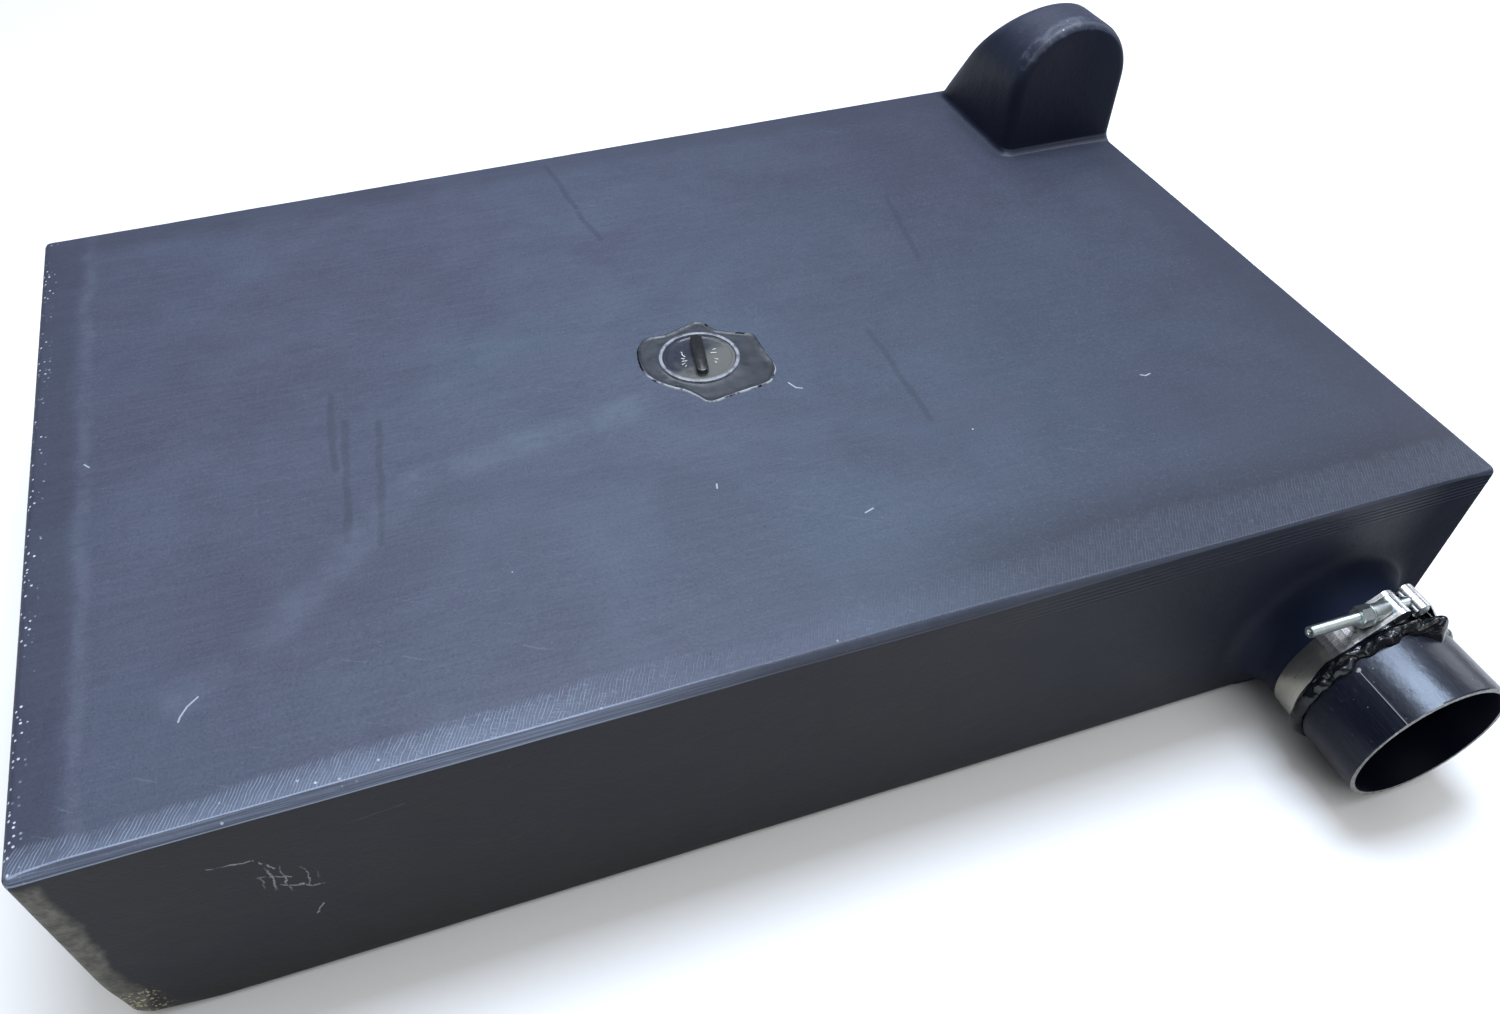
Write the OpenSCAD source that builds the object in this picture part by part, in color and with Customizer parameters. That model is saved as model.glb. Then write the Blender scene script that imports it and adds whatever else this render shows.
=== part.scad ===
/* [Tank] */
// Length of the tank, left to right
tank_l = 920; // [900:10:1100]
// Depth of the tank, front to back
tank_w = 614; // [600:2:700]
// Height of the tank without its hump
tank_h = 180; // [176:2:220]
// Thickness of the moulded wall
wall = 6; // [5:0.5:7]
// Radius of the tank's upright edges
edge_r = 6; // [5:1:15]

/* [Hump] */
// Width of the hump, which is flush with the tank's right side
hump_w = 108; // [100:2:116]
// Length of the hump where it meets the tank's top
hump_l = 131; // [125:1:140]
// Height of the hump above the tank's top
hump_h = 107; // [100:1:115]
// Gap between the hump's back edge and the tank's back face
hump_gap = 9; // [5:1:15]
// How far the hump's back face leans from upright, in degrees
hump_slope = 37; // [33:1:38]

/* [Top plug] */
// Radius of the fitting welded into the top
collar_r = 29.5; // [29:0.5:31]
// Thread radius of the screw plug
plug_r = 23.9; // [23.5:0.1:24]
// Distance of the plug behind (+) or in front (-) of the tank's middle
plug_y = -23; // [-60:1:60]
// Turn of the grip bar from straight front to back, in degrees
grip_turn = -11; // [-90:1:90]

/* [Outlet] */
// Distance of the outlet to the right of the tank's middle
outlet_x = 368; // [340:1:375]
// Height of the outlet's axis
outlet_z = 62; // [60:1:80]
// Outside radius of the moulded neck
neck_r = 53; // [52.5:0.5:53.5]
// Length of the neck from the front wall
neck_l = 56; // [56:0.5:57]
// Radius of the flare between the neck and the front wall
flare_r = 22; // [15:1:24]
// Outside radius of the outlet pipe
pipe_r = 55; // [54.5:0.5:56]
// Distance of the pipe's mouth from the front wall
pipe_reach = 114; // [100:1:140]
// Wall thickness of the pipe
pipe_wall = 3.5; // [3:0.5:4]

/* [Band clamp] */
// Distance of the band's back edge from the front wall
band_start = 34; // [32:0.5:34]
// Width of the band
band_w = 19.5; // [18:0.5:20]
// Thickness of the band and of the strap loops
band_t = 0.8; // [0.6:0.1:0.8]
// Height of the bolt's axis above the pipe's axis
bolt_lift = 61.2; // [61.1:0.1:62]
// Radius of the bolt's thread
bolt_r = 4; // [3.5:0.5:4]
// Place of the trunnion along the bolt, from the pipe's middle
trunnion_x = -2; // [-4:1:-2]
// Place of the bolt's T-head, from the pipe's middle
head_x = 14; // [13:1:16]
// Place of the bolt's free end, from the pipe's middle
bolt_end_x = -67; // [-75:1:-60]

/* [Breather and drain] */
// Height of the breather's middle above the tank's top
breather_z = 32; // [28:1:40]
// Distance of the drain to the left of the tank's middle
drain_x = -380; // [-400:5:-200]
// Height of the drain's axis
drain_z = 34; // [32:1:60]

/* [Hidden] */
$fn = 96;
eps = 1;
far = 400;

// hump
hump_x = tank_l / 2 - hump_w / 2;
hump_back = tank_w / 2 - hump_gap;
hump_front = hump_back - hump_l;
arch_z = tank_h + hump_h - hump_w / 2;
breather_y = hump_back - breather_z * tan(hump_slope);

// plug and its collar
collar_top = 2.6;
collar_depth = 22;
recess_r = 26.8;
recess_floor = -2;
flange_r = 26.4;
flange_low = 0.2;
flange_t = 1.6;
fit_gap = 0.05;
stem_l = 14;
stem_bore = 20;
o_ring_d = 2.2;
grip_l = 44;
grip_w = 9;
grip_h = 4.6;
patch_t = 1.4;
patch_shape = [[48, 3], [49, 18], [40, 34], [37, 53], [44, 67], [45, 76], [41, 88], [39, 115], [47, 132],
    [46, 154], [43, 185], [40, 212], [39, 236], [43, 248], [51, 260], [49, 276], [50, 292], [55, 306],
    [58, 316], [56, 331], [50, 347]];

// outlet
neck_bore = 49;
tail_r = neck_bore - 0.1;
tail_in = 17;
shoulder = neck_l + 1;
tail_bore = tail_r - pipe_wall;
seat_r = pipe_r - 0.7;
bead_r = 58.6;
bead_end = 66;

// clamp
bridge_t = 0.6;
bridge_from = 40;
bridge_to = 140;
band_in = neck_r + bridge_t + 0.1;
band_out = band_in + band_t;
band_from = 116;
band_turn = 304;
band_mid = band_start + band_w / 2;
lap_gap = 0.2;
low_r = band_out + lap_gap / 2 + band_t / 2;
high_r = low_r + band_t + lap_gap;
pin_r = 5.5;
wrap_r = pin_r + 0.1 + band_t / 2;
arc_step = 6;
window_w = 13;
window_from = 3;
window_to = 25.5;
loop_hole_r = bolt_r + 0.6;
pin_l = 19;
spacer_r = 6.3;
spacer_l = 13;
washer_r = 7.4;
washer_t = 1.5;
nut_flats = 13;
nut_h = 8;
spacer_end = trunnion_x - pin_r - 0.1;
washer_end = spacer_end - spacer_l;
nut_end = washer_end - washer_t;

// breather
insert_r = 21;
insert_t = 3;
insert_body_r = 14;
insert_depth = 16;
breather_bore = 10;
gasket_t = 1.2;
cap_r = 20.5;
cap_t = 10.5;
cap_grips = 12;
filter_r = 9.8;
filter_t = 5;
lip_r = 7;

// drain
drain_flange_r = 20;
drain_bore = 10.5;
drain_depth = 14;
drain_washer_t = 1.5;
drain_collar_r = 15.5;
hex_flats = 24;
hex_h = 6.5;

// strainer
strainer_r = tail_bore - 0.1;
strainer_lap = 8;
strainer_lip = 12;
screen_r = 43.5;
screen_t = 1;
screen_l = 80;
screen_rows = 5;
screen_holes = 9;
screen_hole_r = 5;
cap_plate = 4;

function unit(v) = v / norm(v);
function polar(r, a) = [r * cos(a), r * sin(a)];
function arc(c, r, a, b) =
    let (n = max(1, ceil(abs(b - a) / arc_step)))
    [for (i = [0:n]) c + polar(r, a + (b - a) * i / n)];
function side_of(p, i) =
    let (d = unit(p[min(i + 1, len(p) - 1)] - p[max(i - 1, 0)]))
    [-d.y, d.x];
function ribbon(p, t) = concat(
    [for (i = [0:len(p) - 1]) p[i] + side_of(p, i) * t / 2],
    [for (i = [len(p) - 1:-1:0]) p[i] - side_of(p, i) * t / 2]);

// centre line of a strap that runs up the band, round a pin and back down on itself
function loop_path(c, start_a, foot_a, lap) =
    let (a1 = atan2(c.y, c.x) - acos((low_r + wrap_r) / norm(c)),
        foot = polar(high_r, foot_a),
        to_foot = foot - c,
        a2 = atan2(to_foot.y, to_foot.x) + acos(wrap_r / norm(to_foot)))
    concat(arc([0, 0], low_r, start_a, a1), arc(c, wrap_r, a1 + 180, a2),
        arc([0, 0], high_r, foot_a, foot_a - lap));

// smooth closed outline through polar points, each [radius, angle]
function blend(a, b, c, d, t) =
    0.5 * (2 * b + (c - a) * t + (2 * a - 5 * b + 4 * c - d) * t * t + (3 * b - a - 3 * c + d) * t * t * t);
function smooth_outline(p, steps) =
    let (n = len(p), q = [for (v = p) polar(v[0], v[1])])
    [for (i = [0:n - 1], k = [0:steps - 1])
        blend(q[(i + n - 1) % n], q[i], q[(i + 1) % n], q[(i + 2) % n], k / steps)];

module ring(r_out, r_in, h) {
    difference() {
        cylinder(r = r_out, h = h);
        translate([0, 0, -eps]) cylinder(r = r_in, h = h + 2 * eps);
    }
}

module hex(flats, h) {
    cylinder(r = flats / 2 / cos(30), h = h, $fn = 6);
}

// places: +Z points out of the tank at each fitting, from the wall's outer face
module at_plug() {
    translate([0, plug_y, tank_h]) children();
}

module at_outlet() {
    translate([outlet_x, -tank_w / 2, outlet_z]) rotate([90, 0, 0]) children();
}

module at_breather() {
    translate([hump_x, breather_y, tank_h + breather_z]) rotate([hump_slope - 90, 0, 0]) children();
}

module at_drain() {
    translate([drain_x, tank_w / 2, drain_z]) rotate([-90, 0, 0]) children();
}

// along the clamp's bolt, in the outlet's frame: +Z points to the bolt's free end
module at_bolt(x) {
    at_outlet() translate([x, bolt_lift, band_mid]) rotate([0, -90, 0]) children();
}

// along a cross bar of the clamp, parallel to the pipe
module at_pin(x) {
    at_outlet() translate([x, bolt_lift, band_mid - pin_l / 2]) children();
}

module slab(l, w, h, r) {
    translate([-l / 2 + r, -w / 2, 0]) cube([l - 2 * r, w, h]);
    translate([-l / 2, -w / 2 + r, 0]) cube([l, w - 2 * r, h]);
    for (x = [-1, 1], y = [-1, 1]) {
        translate([x * (l / 2 - r), y * (w / 2 - r), 0]) cylinder(r = r, h = h);
    }
}

// arch that runs front to back with a leaning back face, shrunk all round by inset
module hump_block(inset, low) {
    difference() {
        translate([hump_x, hump_back, 0]) rotate([90, 0, 0]) linear_extrude(hump_l - inset) {
            translate([0, arch_z]) circle(r = hump_w / 2 - inset);
            translate([inset - hump_w / 2, low]) square([hump_w - 2 * inset, arch_z - low]);
        }
        translate([0, hump_back, tank_h]) rotate([hump_slope, 0, 0])
            translate([0, -inset, -far / 2]) cube([far * 2, far, far]);
    }
}

module neck_outside() {
    intersection() {
        at_outlet() {
            translate([0, 0, -eps]) cylinder(r = neck_r, h = neck_l + eps);
            rotate_extrude() difference() {
                translate([neck_r - eps, -eps]) square([flare_r + eps, flare_r + eps]);
                translate([neck_r + flare_r, flare_r]) circle(r = flare_r);
            }
        }
        translate([0, -tank_w, 0]) cube([tank_l, tank_w, far]);
    }
}

module tank_shell() {
    color("#2b2f38") difference() {
        union() {
            slab(tank_l, tank_w, tank_h, edge_r);
            hump_block(0, tank_h - eps);
            neck_outside();
        }
        translate([0, 0, wall]) slab(tank_l - 2 * wall, tank_w - 2 * wall, tank_h - 2 * wall, edge_r / 2);
        hump_block(wall, tank_h - wall - eps);
        at_outlet() translate([0, 0, -wall - eps]) cylinder(r = neck_bore, h = neck_l + wall + 2 * eps);
        at_plug() translate([0, 0, -wall - eps]) cylinder(r = collar_r, h = wall + 2 * eps);
        at_breather() translate([0, 0, -2 * wall]) cylinder(r = insert_body_r, h = 3 * wall);
        at_drain() translate([0, 0, -wall - eps]) cylinder(r = insert_body_r, h = wall + 2 * eps);
    }
}

module plug_collar() {
    color("#30343d") at_plug() difference() {
        translate([0, 0, -collar_depth]) cylinder(r = collar_r, h = collar_depth + collar_top);
        translate([0, 0, -collar_depth - eps]) cylinder(r = plug_r + fit_gap, h = collar_depth + eps);
        translate([0, 0, recess_floor]) cylinder(r = recess_r, h = collar_top - recess_floor + eps);
    }
}

module weld_patch() {
    color("#23262e") at_plug() difference() {
        linear_extrude(patch_t) polygon(smooth_outline(patch_shape, 4));
        translate([0, 0, -eps]) cylinder(r = collar_r, h = patch_t + 2 * eps);
    }
}

module top_plug() {
    color("#1c1e22") at_plug() {
        difference() {
            union() {
                translate([0, 0, flange_low]) cylinder(r = flange_r, h = flange_t);
                translate([0, 0, -stem_l]) cylinder(r = plug_r, h = stem_l + flange_low + flange_t / 2);
            }
            translate([0, 0, -stem_l - eps]) cylinder(r = stem_bore, h = stem_l);
        }
        rotate([0, 0, grip_turn]) translate([0, 0, flange_low + flange_t - eps / 2]) {
            translate([-grip_w / 2, -(grip_l - grip_w) / 2, 0])
                cube([grip_w, grip_l - grip_w, grip_h + eps / 2]);
            for (y = [-1, 1]) {
                translate([0, y * (grip_l - grip_w) / 2, 0]) cylinder(r = grip_w / 2, h = grip_h + eps / 2);
            }
        }
    }
}

module plug_o_ring() {
    color("#0f0f10") at_plug() translate([0, 0, recess_floor + o_ring_d / 2])
        rotate_extrude() translate([(recess_r + plug_r) / 2, 0]) circle(r = o_ring_d / 2);
}

module outlet_pipe() {
    color("#141518") at_outlet() difference() {
        union() {
            translate([0, 0, -tail_in]) cylinder(r = tail_r, h = tail_in + shoulder + eps);
            translate([0, 0, shoulder]) cylinder(r = seat_r, h = bead_end - shoulder + eps);
            translate([0, 0, bead_end]) cylinder(r = pipe_r, h = pipe_reach - bead_end);
        }
        translate([0, 0, -tail_in - eps]) cylinder(r = tail_bore, h = tail_in + shoulder + 3 * eps);
        translate([0, 0, shoulder + pipe_wall])
            cylinder(r = pipe_r - pipe_wall, h = pipe_reach - shoulder - pipe_wall + eps);
    }
}

module sealant_bead() {
    bead_start = band_start + band_w;
    color("#0c0d0f") at_outlet() rotate_extrude() polygon([
        [neck_r, bead_start], [neck_r, shoulder], [seat_r, shoulder], [seat_r, bead_end],
        [pipe_r, bead_end], [bead_r, bead_end - 3], [bead_r, shoulder],
        [bead_r - 2, bead_start + 0.5], [neck_r + 1.4, bead_start]]);
}

module clamp_band() {
    color("#b9b7b0") at_outlet() translate([0, 0, band_start]) rotate([0, 0, band_from])
        rotate_extrude(angle = band_turn) translate([band_in, 0]) square([band_t, band_w]);
}

module clamp_bridge() {
    color("#a9a7a1") at_outlet() translate([0, 0, band_start + eps]) rotate([0, 0, bridge_from])
        rotate_extrude(angle = bridge_to - bridge_from) translate([neck_r, 0])
            square([bridge_t, band_w - 2 * eps]);
}

module strap_loop(pin_x, start_a, foot_a, lap) {
    difference() {
        translate([0, 0, band_start]) linear_extrude(band_w)
            polygon(ribbon(loop_path([pin_x, bolt_lift], start_a, foot_a, lap), band_t));
        translate([pin_x, bolt_lift, band_mid]) rotate([0, -90, 0])
            cylinder(r = loop_hole_r, h = wrap_r + 2 * eps);
        children();
    }
}

module nut_side_loop() {
    color("#c6c5c0") at_outlet() mirror([1, 0, 0]) strap_loop(-trunnion_x, 39.5, 59, 4)
        translate([0, 0, band_mid - window_w / 2]) linear_extrude(window_w) difference() {
            translate([window_from, neck_r - 10]) square([window_to - window_from, 40]);
            circle(r = low_r + (band_t + lap_gap) / 2);
        }
}

module bolt_side_loop() {
    color("#c6c5c0") at_outlet() strap_loop(head_x, 30, 46, 5);
}

module t_bolt() {
    color("#c9d2cf") {
        at_bolt(head_x) cylinder(r = bolt_r, h = head_x - bolt_end_x);
        at_pin(head_x) cylinder(r = pin_r, h = pin_l);
    }
}

module trunnion() {
    color("#bdbcb8") difference() {
        at_pin(trunnion_x) cylinder(r = pin_r, h = pin_l);
        at_bolt(trunnion_x + pin_r + eps) cylinder(r = bolt_r + 0.15, h = 2 * (pin_r + eps));
    }
}

module clamp_spacer() {
    color("#c8c7c4") at_bolt(spacer_end) ring(spacer_r, bolt_r + 0.2, spacer_l);
}

module clamp_washer() {
    color("#b4b6b5") at_bolt(washer_end) ring(washer_r, bolt_r + 0.2, washer_t);
}

module clamp_nut() {
    color("#c4c9c8") at_bolt(nut_end) difference() {
        hex(nut_flats, nut_h);
        translate([0, 0, -eps]) cylinder(r = bolt_r + fit_gap, h = nut_h + 2 * eps);
    }
}

module breather_insert() {
    color("#26282c") at_breather() difference() {
        union() {
            cylinder(r = insert_r, h = insert_t);
            translate([0, 0, -insert_depth]) cylinder(r = insert_body_r, h = insert_depth + eps);
        }
        translate([0, 0, -insert_depth + eps]) cylinder(r = breather_bore, h = insert_depth + insert_t);
        translate([0, 0, -insert_depth - eps]) cylinder(r = lip_r, h = 3 * eps);
    }
}

module breather_gasket() {
    color("#0f0f10") at_breather() translate([0, 0, insert_t]) ring(17, breather_bore + 2, gasket_t);
}

module breather_cap() {
    stem = 11;
    color("#17181b") at_breather() translate([0, 0, insert_t + gasket_t]) difference() {
        union() {
            cylinder(r = cap_r, h = cap_t);
            translate([0, 0, -stem]) cylinder(r = breather_bore - fit_gap, h = stem + eps);
        }
        translate([0, 0, -stem - eps]) cylinder(r = lip_r, h = stem + 3 * eps);
        for (i = [0:cap_grips - 1]) {
            rotate([0, 0, i * 360 / cap_grips]) translate([cap_r + 1, 0, 2]) cylinder(r = 2.5, h = cap_t);
        }
        for (i = [0:3]) {
            rotate([0, 0, 45 + i * 90]) translate([0, 0, 2]) rotate([0, 90, 0])
                cylinder(r = 1.2, h = cap_r + eps);
        }
    }
}

module breather_filter() {
    color("#c9b27a") at_breather() translate([0, 0, eps - insert_depth]) cylinder(r = filter_r, h = filter_t);
}

module drain_insert() {
    color("#26282c") at_drain() difference() {
        union() {
            cylinder(r = drain_flange_r, h = insert_t);
            translate([0, 0, -drain_depth]) cylinder(r = insert_body_r, h = drain_depth + eps);
        }
        translate([0, 0, -drain_depth - eps]) cylinder(r = drain_bore, h = drain_depth + insert_t + 2 * eps);
    }
}

module drain_washer() {
    color("#b26a3c") at_drain() translate([0, 0, insert_t])
        ring(drain_collar_r, drain_bore + 0.2, drain_washer_t);
}

module drain_plug() {
    color("#9fa3a4") at_drain() translate([0, 0, insert_t + drain_washer_t]) {
        translate([0, 0, -drain_depth]) cylinder(r = drain_bore - fit_gap, h = drain_depth + eps);
        cylinder(r = drain_collar_r, h = 2);
        translate([0, 0, eps]) hex(hex_flats, hex_h + eps);
    }
}

module strainer_collar() {
    color("#8d9194") at_outlet() translate([0, 0, -tail_in]) difference() {
        union() {
            cylinder(r = strainer_r, h = strainer_lap);
            translate([0, 0, -strainer_lip]) cylinder(r = tail_r - eps, h = strainer_lip);
        }
        translate([0, 0, -strainer_lip - eps])
            cylinder(r = screen_r - screen_t, h = strainer_lip + strainer_lap + 2 * eps);
        translate([0, 0, -strainer_lip - eps])
            cylinder(r = screen_r + fit_gap, h = strainer_lip / 2 + eps);
    }
}

module strainer_screen() {
    top = -tail_in - strainer_lip / 2;
    pitch = screen_l / (screen_rows + 0.5);
    color("#a5a9ab") at_outlet() translate([0, 0, top - screen_l]) difference() {
        ring(screen_r, screen_r - screen_t, screen_l);
        for (i = [0:screen_rows - 1], k = [0:screen_holes - 1]) {
            translate([0, 0, (i + 0.6) * pitch]) rotate([0, 90, (k + i % 2 / 2) * 360 / screen_holes])
                translate([0, 0, screen_r - 5]) cylinder(r = screen_hole_r, h = 10, $fn = 24);
        }
    }
}

module strainer_end_cap() {
    low = -tail_in - strainer_lip / 2 - screen_l;
    color("#8d9194") at_outlet() translate([0, 0, low - cap_plate]) difference() {
        cylinder(r = screen_r + 1.5, h = cap_plate + 4);
        translate([0, 0, cap_plate]) cylinder(r = screen_r + fit_gap, h = 5);
    }
}

tank_shell();
plug_collar();
weld_patch();
top_plug();
plug_o_ring();
outlet_pipe();
sealant_bead();
clamp_band();
clamp_bridge();
nut_side_loop();
bolt_side_loop();
t_bolt();
trunnion();
clamp_spacer();
clamp_washer();
clamp_nut();
breather_insert();
breather_gasket();
breather_cap();
breather_filter();
drain_insert();
drain_washer();
drain_plug();
strainer_collar();
strainer_screen();
strainer_end_cap();
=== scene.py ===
"""Looks of a moulded hydraulic reservoir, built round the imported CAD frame.

Lengths are in metres and +Z is up. "Clock" is the angle round the outlet pipe, from +X towards
+Z. "Out" is the distance in front of the tank's front wall. A "place" matrix has its origin on a
wall's outer face and its +Z pointing out of the tank.
"""

import functools
import math
import operator

import bmesh
import bpy
import numpy as np
from mathutils import Euler, Matrix, Vector, noise


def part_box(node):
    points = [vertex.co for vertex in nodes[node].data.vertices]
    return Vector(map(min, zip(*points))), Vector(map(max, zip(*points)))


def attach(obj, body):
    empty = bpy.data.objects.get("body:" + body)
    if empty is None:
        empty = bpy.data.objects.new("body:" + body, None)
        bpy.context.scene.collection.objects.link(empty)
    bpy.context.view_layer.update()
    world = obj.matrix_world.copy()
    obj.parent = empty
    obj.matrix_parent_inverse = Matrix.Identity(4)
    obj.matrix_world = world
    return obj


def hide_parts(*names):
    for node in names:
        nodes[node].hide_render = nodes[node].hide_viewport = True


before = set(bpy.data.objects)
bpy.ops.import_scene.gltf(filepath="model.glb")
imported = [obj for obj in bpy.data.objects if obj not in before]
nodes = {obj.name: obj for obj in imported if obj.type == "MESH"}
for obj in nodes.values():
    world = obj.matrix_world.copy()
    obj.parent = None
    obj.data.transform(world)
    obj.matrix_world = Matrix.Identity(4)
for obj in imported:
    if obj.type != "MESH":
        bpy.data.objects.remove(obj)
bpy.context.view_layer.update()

MM = 0.001

# ---------------------------------------------------------------- places read from the frame


def box_centre(node):
    low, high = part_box(node)
    return (low + high) / 2


def facing_place(origin, angle, axis):
    return Matrix.Translation(origin) @ Matrix.Rotation(angle, 4, axis)


shell_low, shell_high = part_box("tank_shell")
HALF_L = shell_high.x
HALF_W = shell_high.y
HUMP_TOP = shell_high.z
NECK_L = -HALF_W - shell_low.y

COLLAR_RIM = 2.6 * MM
TANK_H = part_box("plug_collar")[1].z - COLLAR_RIM
WALL = 6 * MM
EDGE_R = 6 * MM

pipe_low, pipe_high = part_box("outlet_pipe")
PIPE_R = (pipe_high.x - pipe_low.x) / 2
PIPE_OUT = -HALF_W - pipe_low.y
NECK_R = 53 * MM
NECK_BORE = 49 * MM
FLARE_R = 22 * MM
PIPE_WALL = 3.5 * MM
PIPE_SEAM = math.radians(134)

HUMP_R = 54 * MM
HUMP_X = HALF_L - HUMP_R
HUMP_BACK = HALF_W - 9 * MM
HUMP_FRONT = HUMP_BACK - 131 * MM
HUMP_SLOPE = math.radians(37)
HUMP_AXIS_Z = HUMP_TOP - HUMP_R
BREATHER_RISE = 32 * MM

plug_centre = box_centre("plug_collar")
pipe_centre = box_centre("outlet_pipe")
drain_centre = box_centre("drain_washer")
nut_centre = box_centre("clamp_nut")

plug_place = Matrix.Translation((plug_centre.x, plug_centre.y, TANK_H))
outlet_place = facing_place((pipe_centre.x, -HALF_W, pipe_centre.z), math.pi / 2, "X")
drain_place = facing_place((drain_centre.x, HALF_W, drain_centre.z), -math.pi / 2, "X")
breather_y = HUMP_BACK - BREATHER_RISE * math.tan(HUMP_SLOPE)
breather_place = facing_place((HUMP_X, breather_y, TANK_H + BREATHER_RISE), HUMP_SLOPE - math.pi / 2, "X")
bolt_place = facing_place((0, nut_centre.y, nut_centre.z), -math.pi / 2, "Y")


# ---------------------------------------------------------------- mesh tools


def fade(value, low, high):
    """0 below low, 1 above high and smooth between; low may be the larger one."""
    t = np.clip((np.asarray(value, float) - low) / (high - low), 0, 1)
    return t * t * (3 - 2 * t)


def rough(point, scale, seed=0.0, octaves=3):
    """Smooth noise from about -1 to 1 at a point in metres; scale is waves per metre."""
    x, y, z = point
    waves = Vector((x * scale + seed, y * scale - seed, z * scale + 2 * seed))
    return noise.fractal(waves, 1.0, 2.0, octaves)


def turned(radius, angle, height):
    """The point at an angle round the Z axis."""
    return (radius * math.cos(angle), radius * math.sin(angle), height)


def round_angles(segments):
    return [2 * math.pi * k / segments for k in range(segments)]


def make_piece(name, points, faces, place=None):
    mesh = bpy.data.meshes.new(name)
    mesh.from_pydata([tuple(p) for p in points], [], [tuple(f) for f in faces])
    if place is not None:
        mesh.transform(place)
    mesh.validate()
    piece = bpy.data.objects.new(name, mesh)
    bpy.context.scene.collection.objects.link(piece)
    return piece


def combine(piece, other, operation="DIFFERENCE"):
    """Joins or cuts closed meshes, and removes the other one."""
    step = piece.modifiers.new("combine", "BOOLEAN")
    step.object = other
    step.operation = operation
    step.solver = "MANIFOLD"
    bpy.context.view_layer.update()
    evaluated = piece.evaluated_get(bpy.context.evaluated_depsgraph_get())
    result = bpy.data.meshes.new_from_object(evaluated)
    piece.modifiers.clear()
    piece.data = result
    bpy.data.objects.remove(other)
    return piece


def merge_close(piece, distance=1e-6):
    """Joins points that meet and turns all faces outwards."""
    work = bmesh.new()
    work.from_mesh(piece.data)
    bmesh.ops.remove_doubles(work, verts=work.verts, dist=distance)
    bmesh.ops.dissolve_degenerate(work, edges=work.edges, dist=distance)
    bmesh.ops.recalc_face_normals(work, faces=work.faces)
    work.to_mesh(piece.data)
    work.free()
    return piece


def ring_faces(rows, columns, closed_rows):
    """Quads between rows of points, each row a closed ring."""
    faces = []
    for i in range(rows if closed_rows else rows - 1):
        for k in range(columns):
            a, b = i * columns, (i + 1) % rows * columns
            n = (k + 1) % columns
            faces.append((a + k, a + n, b + n, b + k))
    return faces


def capped_faces(rows, columns):
    """Quads between rows of points, and a flat face on the first and the last row."""
    faces = ring_faces(rows, columns, False)
    faces.append(tuple(range(columns))[::-1])
    faces.append(tuple(range((rows - 1) * columns, rows * columns)))
    return faces


def lathe(name, profile, place, segments=96, warp=None):
    """Turns a closed outline of (radius, height) points; warp may move each point."""
    points = []
    for radius, height in profile:
        for angle in round_angles(segments):
            point = Vector(turned(radius, angle, height))
            points.append(warp(point, angle) if warp else point)
    return make_piece(name, points, ring_faces(len(profile), segments, True), place)


def solid_rod(name, profile, place, segments=64):
    """A turned solid from (radius, height) points, closed by flat ends."""
    angles = round_angles(segments)
    points = [turned(radius, angle, height) for radius, height in profile for angle in angles]
    return make_piece(name, points, capped_faces(len(profile), segments), place)


def cutter(radius, low, high, place, segments=96):
    return solid_rod("cutter", [(radius, low), (radius, high)], place, segments)


def softened(outline, radius, steps=4):
    """A closed outline with each corner replaced by a small round."""
    result = []
    count = len(outline)
    for i, corner in enumerate(outline):
        corner = Vector(corner)
        before = Vector(outline[i - 1]) - corner
        after = Vector(outline[(i + 1) % count]) - corner
        cut = min(radius, before.length * 0.45, after.length * 0.45)
        start = corner + before.normalized() * cut
        end = corner + after.normalized() * cut
        for s in range(steps + 1):
            t = s / steps
            result.append((1 - t) ** 2 * start + 2 * t * (1 - t) * corner + t * t * end)
    return result


def threaded_rod(name, radius, pitch, depth, low, high, place, cuff=0.0, segments=40):
    """A solid rod with a helical thread, tapered at both ends; cuff is its plain length at the top."""
    rows_per_turn = 6
    rows = int((high - low) / pitch * rows_per_turn)
    points = []
    for i in range(rows + 1):
        height = low + (high - low) * i / rows
        ends = float(fade(height, low, low + pitch) * fade(height, high - cuff, high - cuff - pitch))
        for k in range(segments):
            turn = k / segments
            wave = abs(((height / pitch - turn) % 1) * 2 - 1)
            r = radius - depth * (1 - ends * wave)
            if height > high - cuff:
                r = radius - depth
            points.append(turned(r, 2 * math.pi * turn, height))
    return make_piece(name, points, capped_faces(rows + 1, segments), place)


def settle(piece, body, look, replaced, sharp_angle):
    """Shades a piece, with edges over the angle kept sharp, gives it its look and body, and hides the CAD
    node that it stands for.
    """
    mesh = piece.data
    mesh.shade_smooth()
    mesh.set_sharp_from_angle(angle=math.radians(sharp_angle))
    mesh.materials.clear()
    mesh.materials.append(look)
    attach(piece, body)
    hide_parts(replaced)


# ---------------------------------------------------------------- material tools


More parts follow.
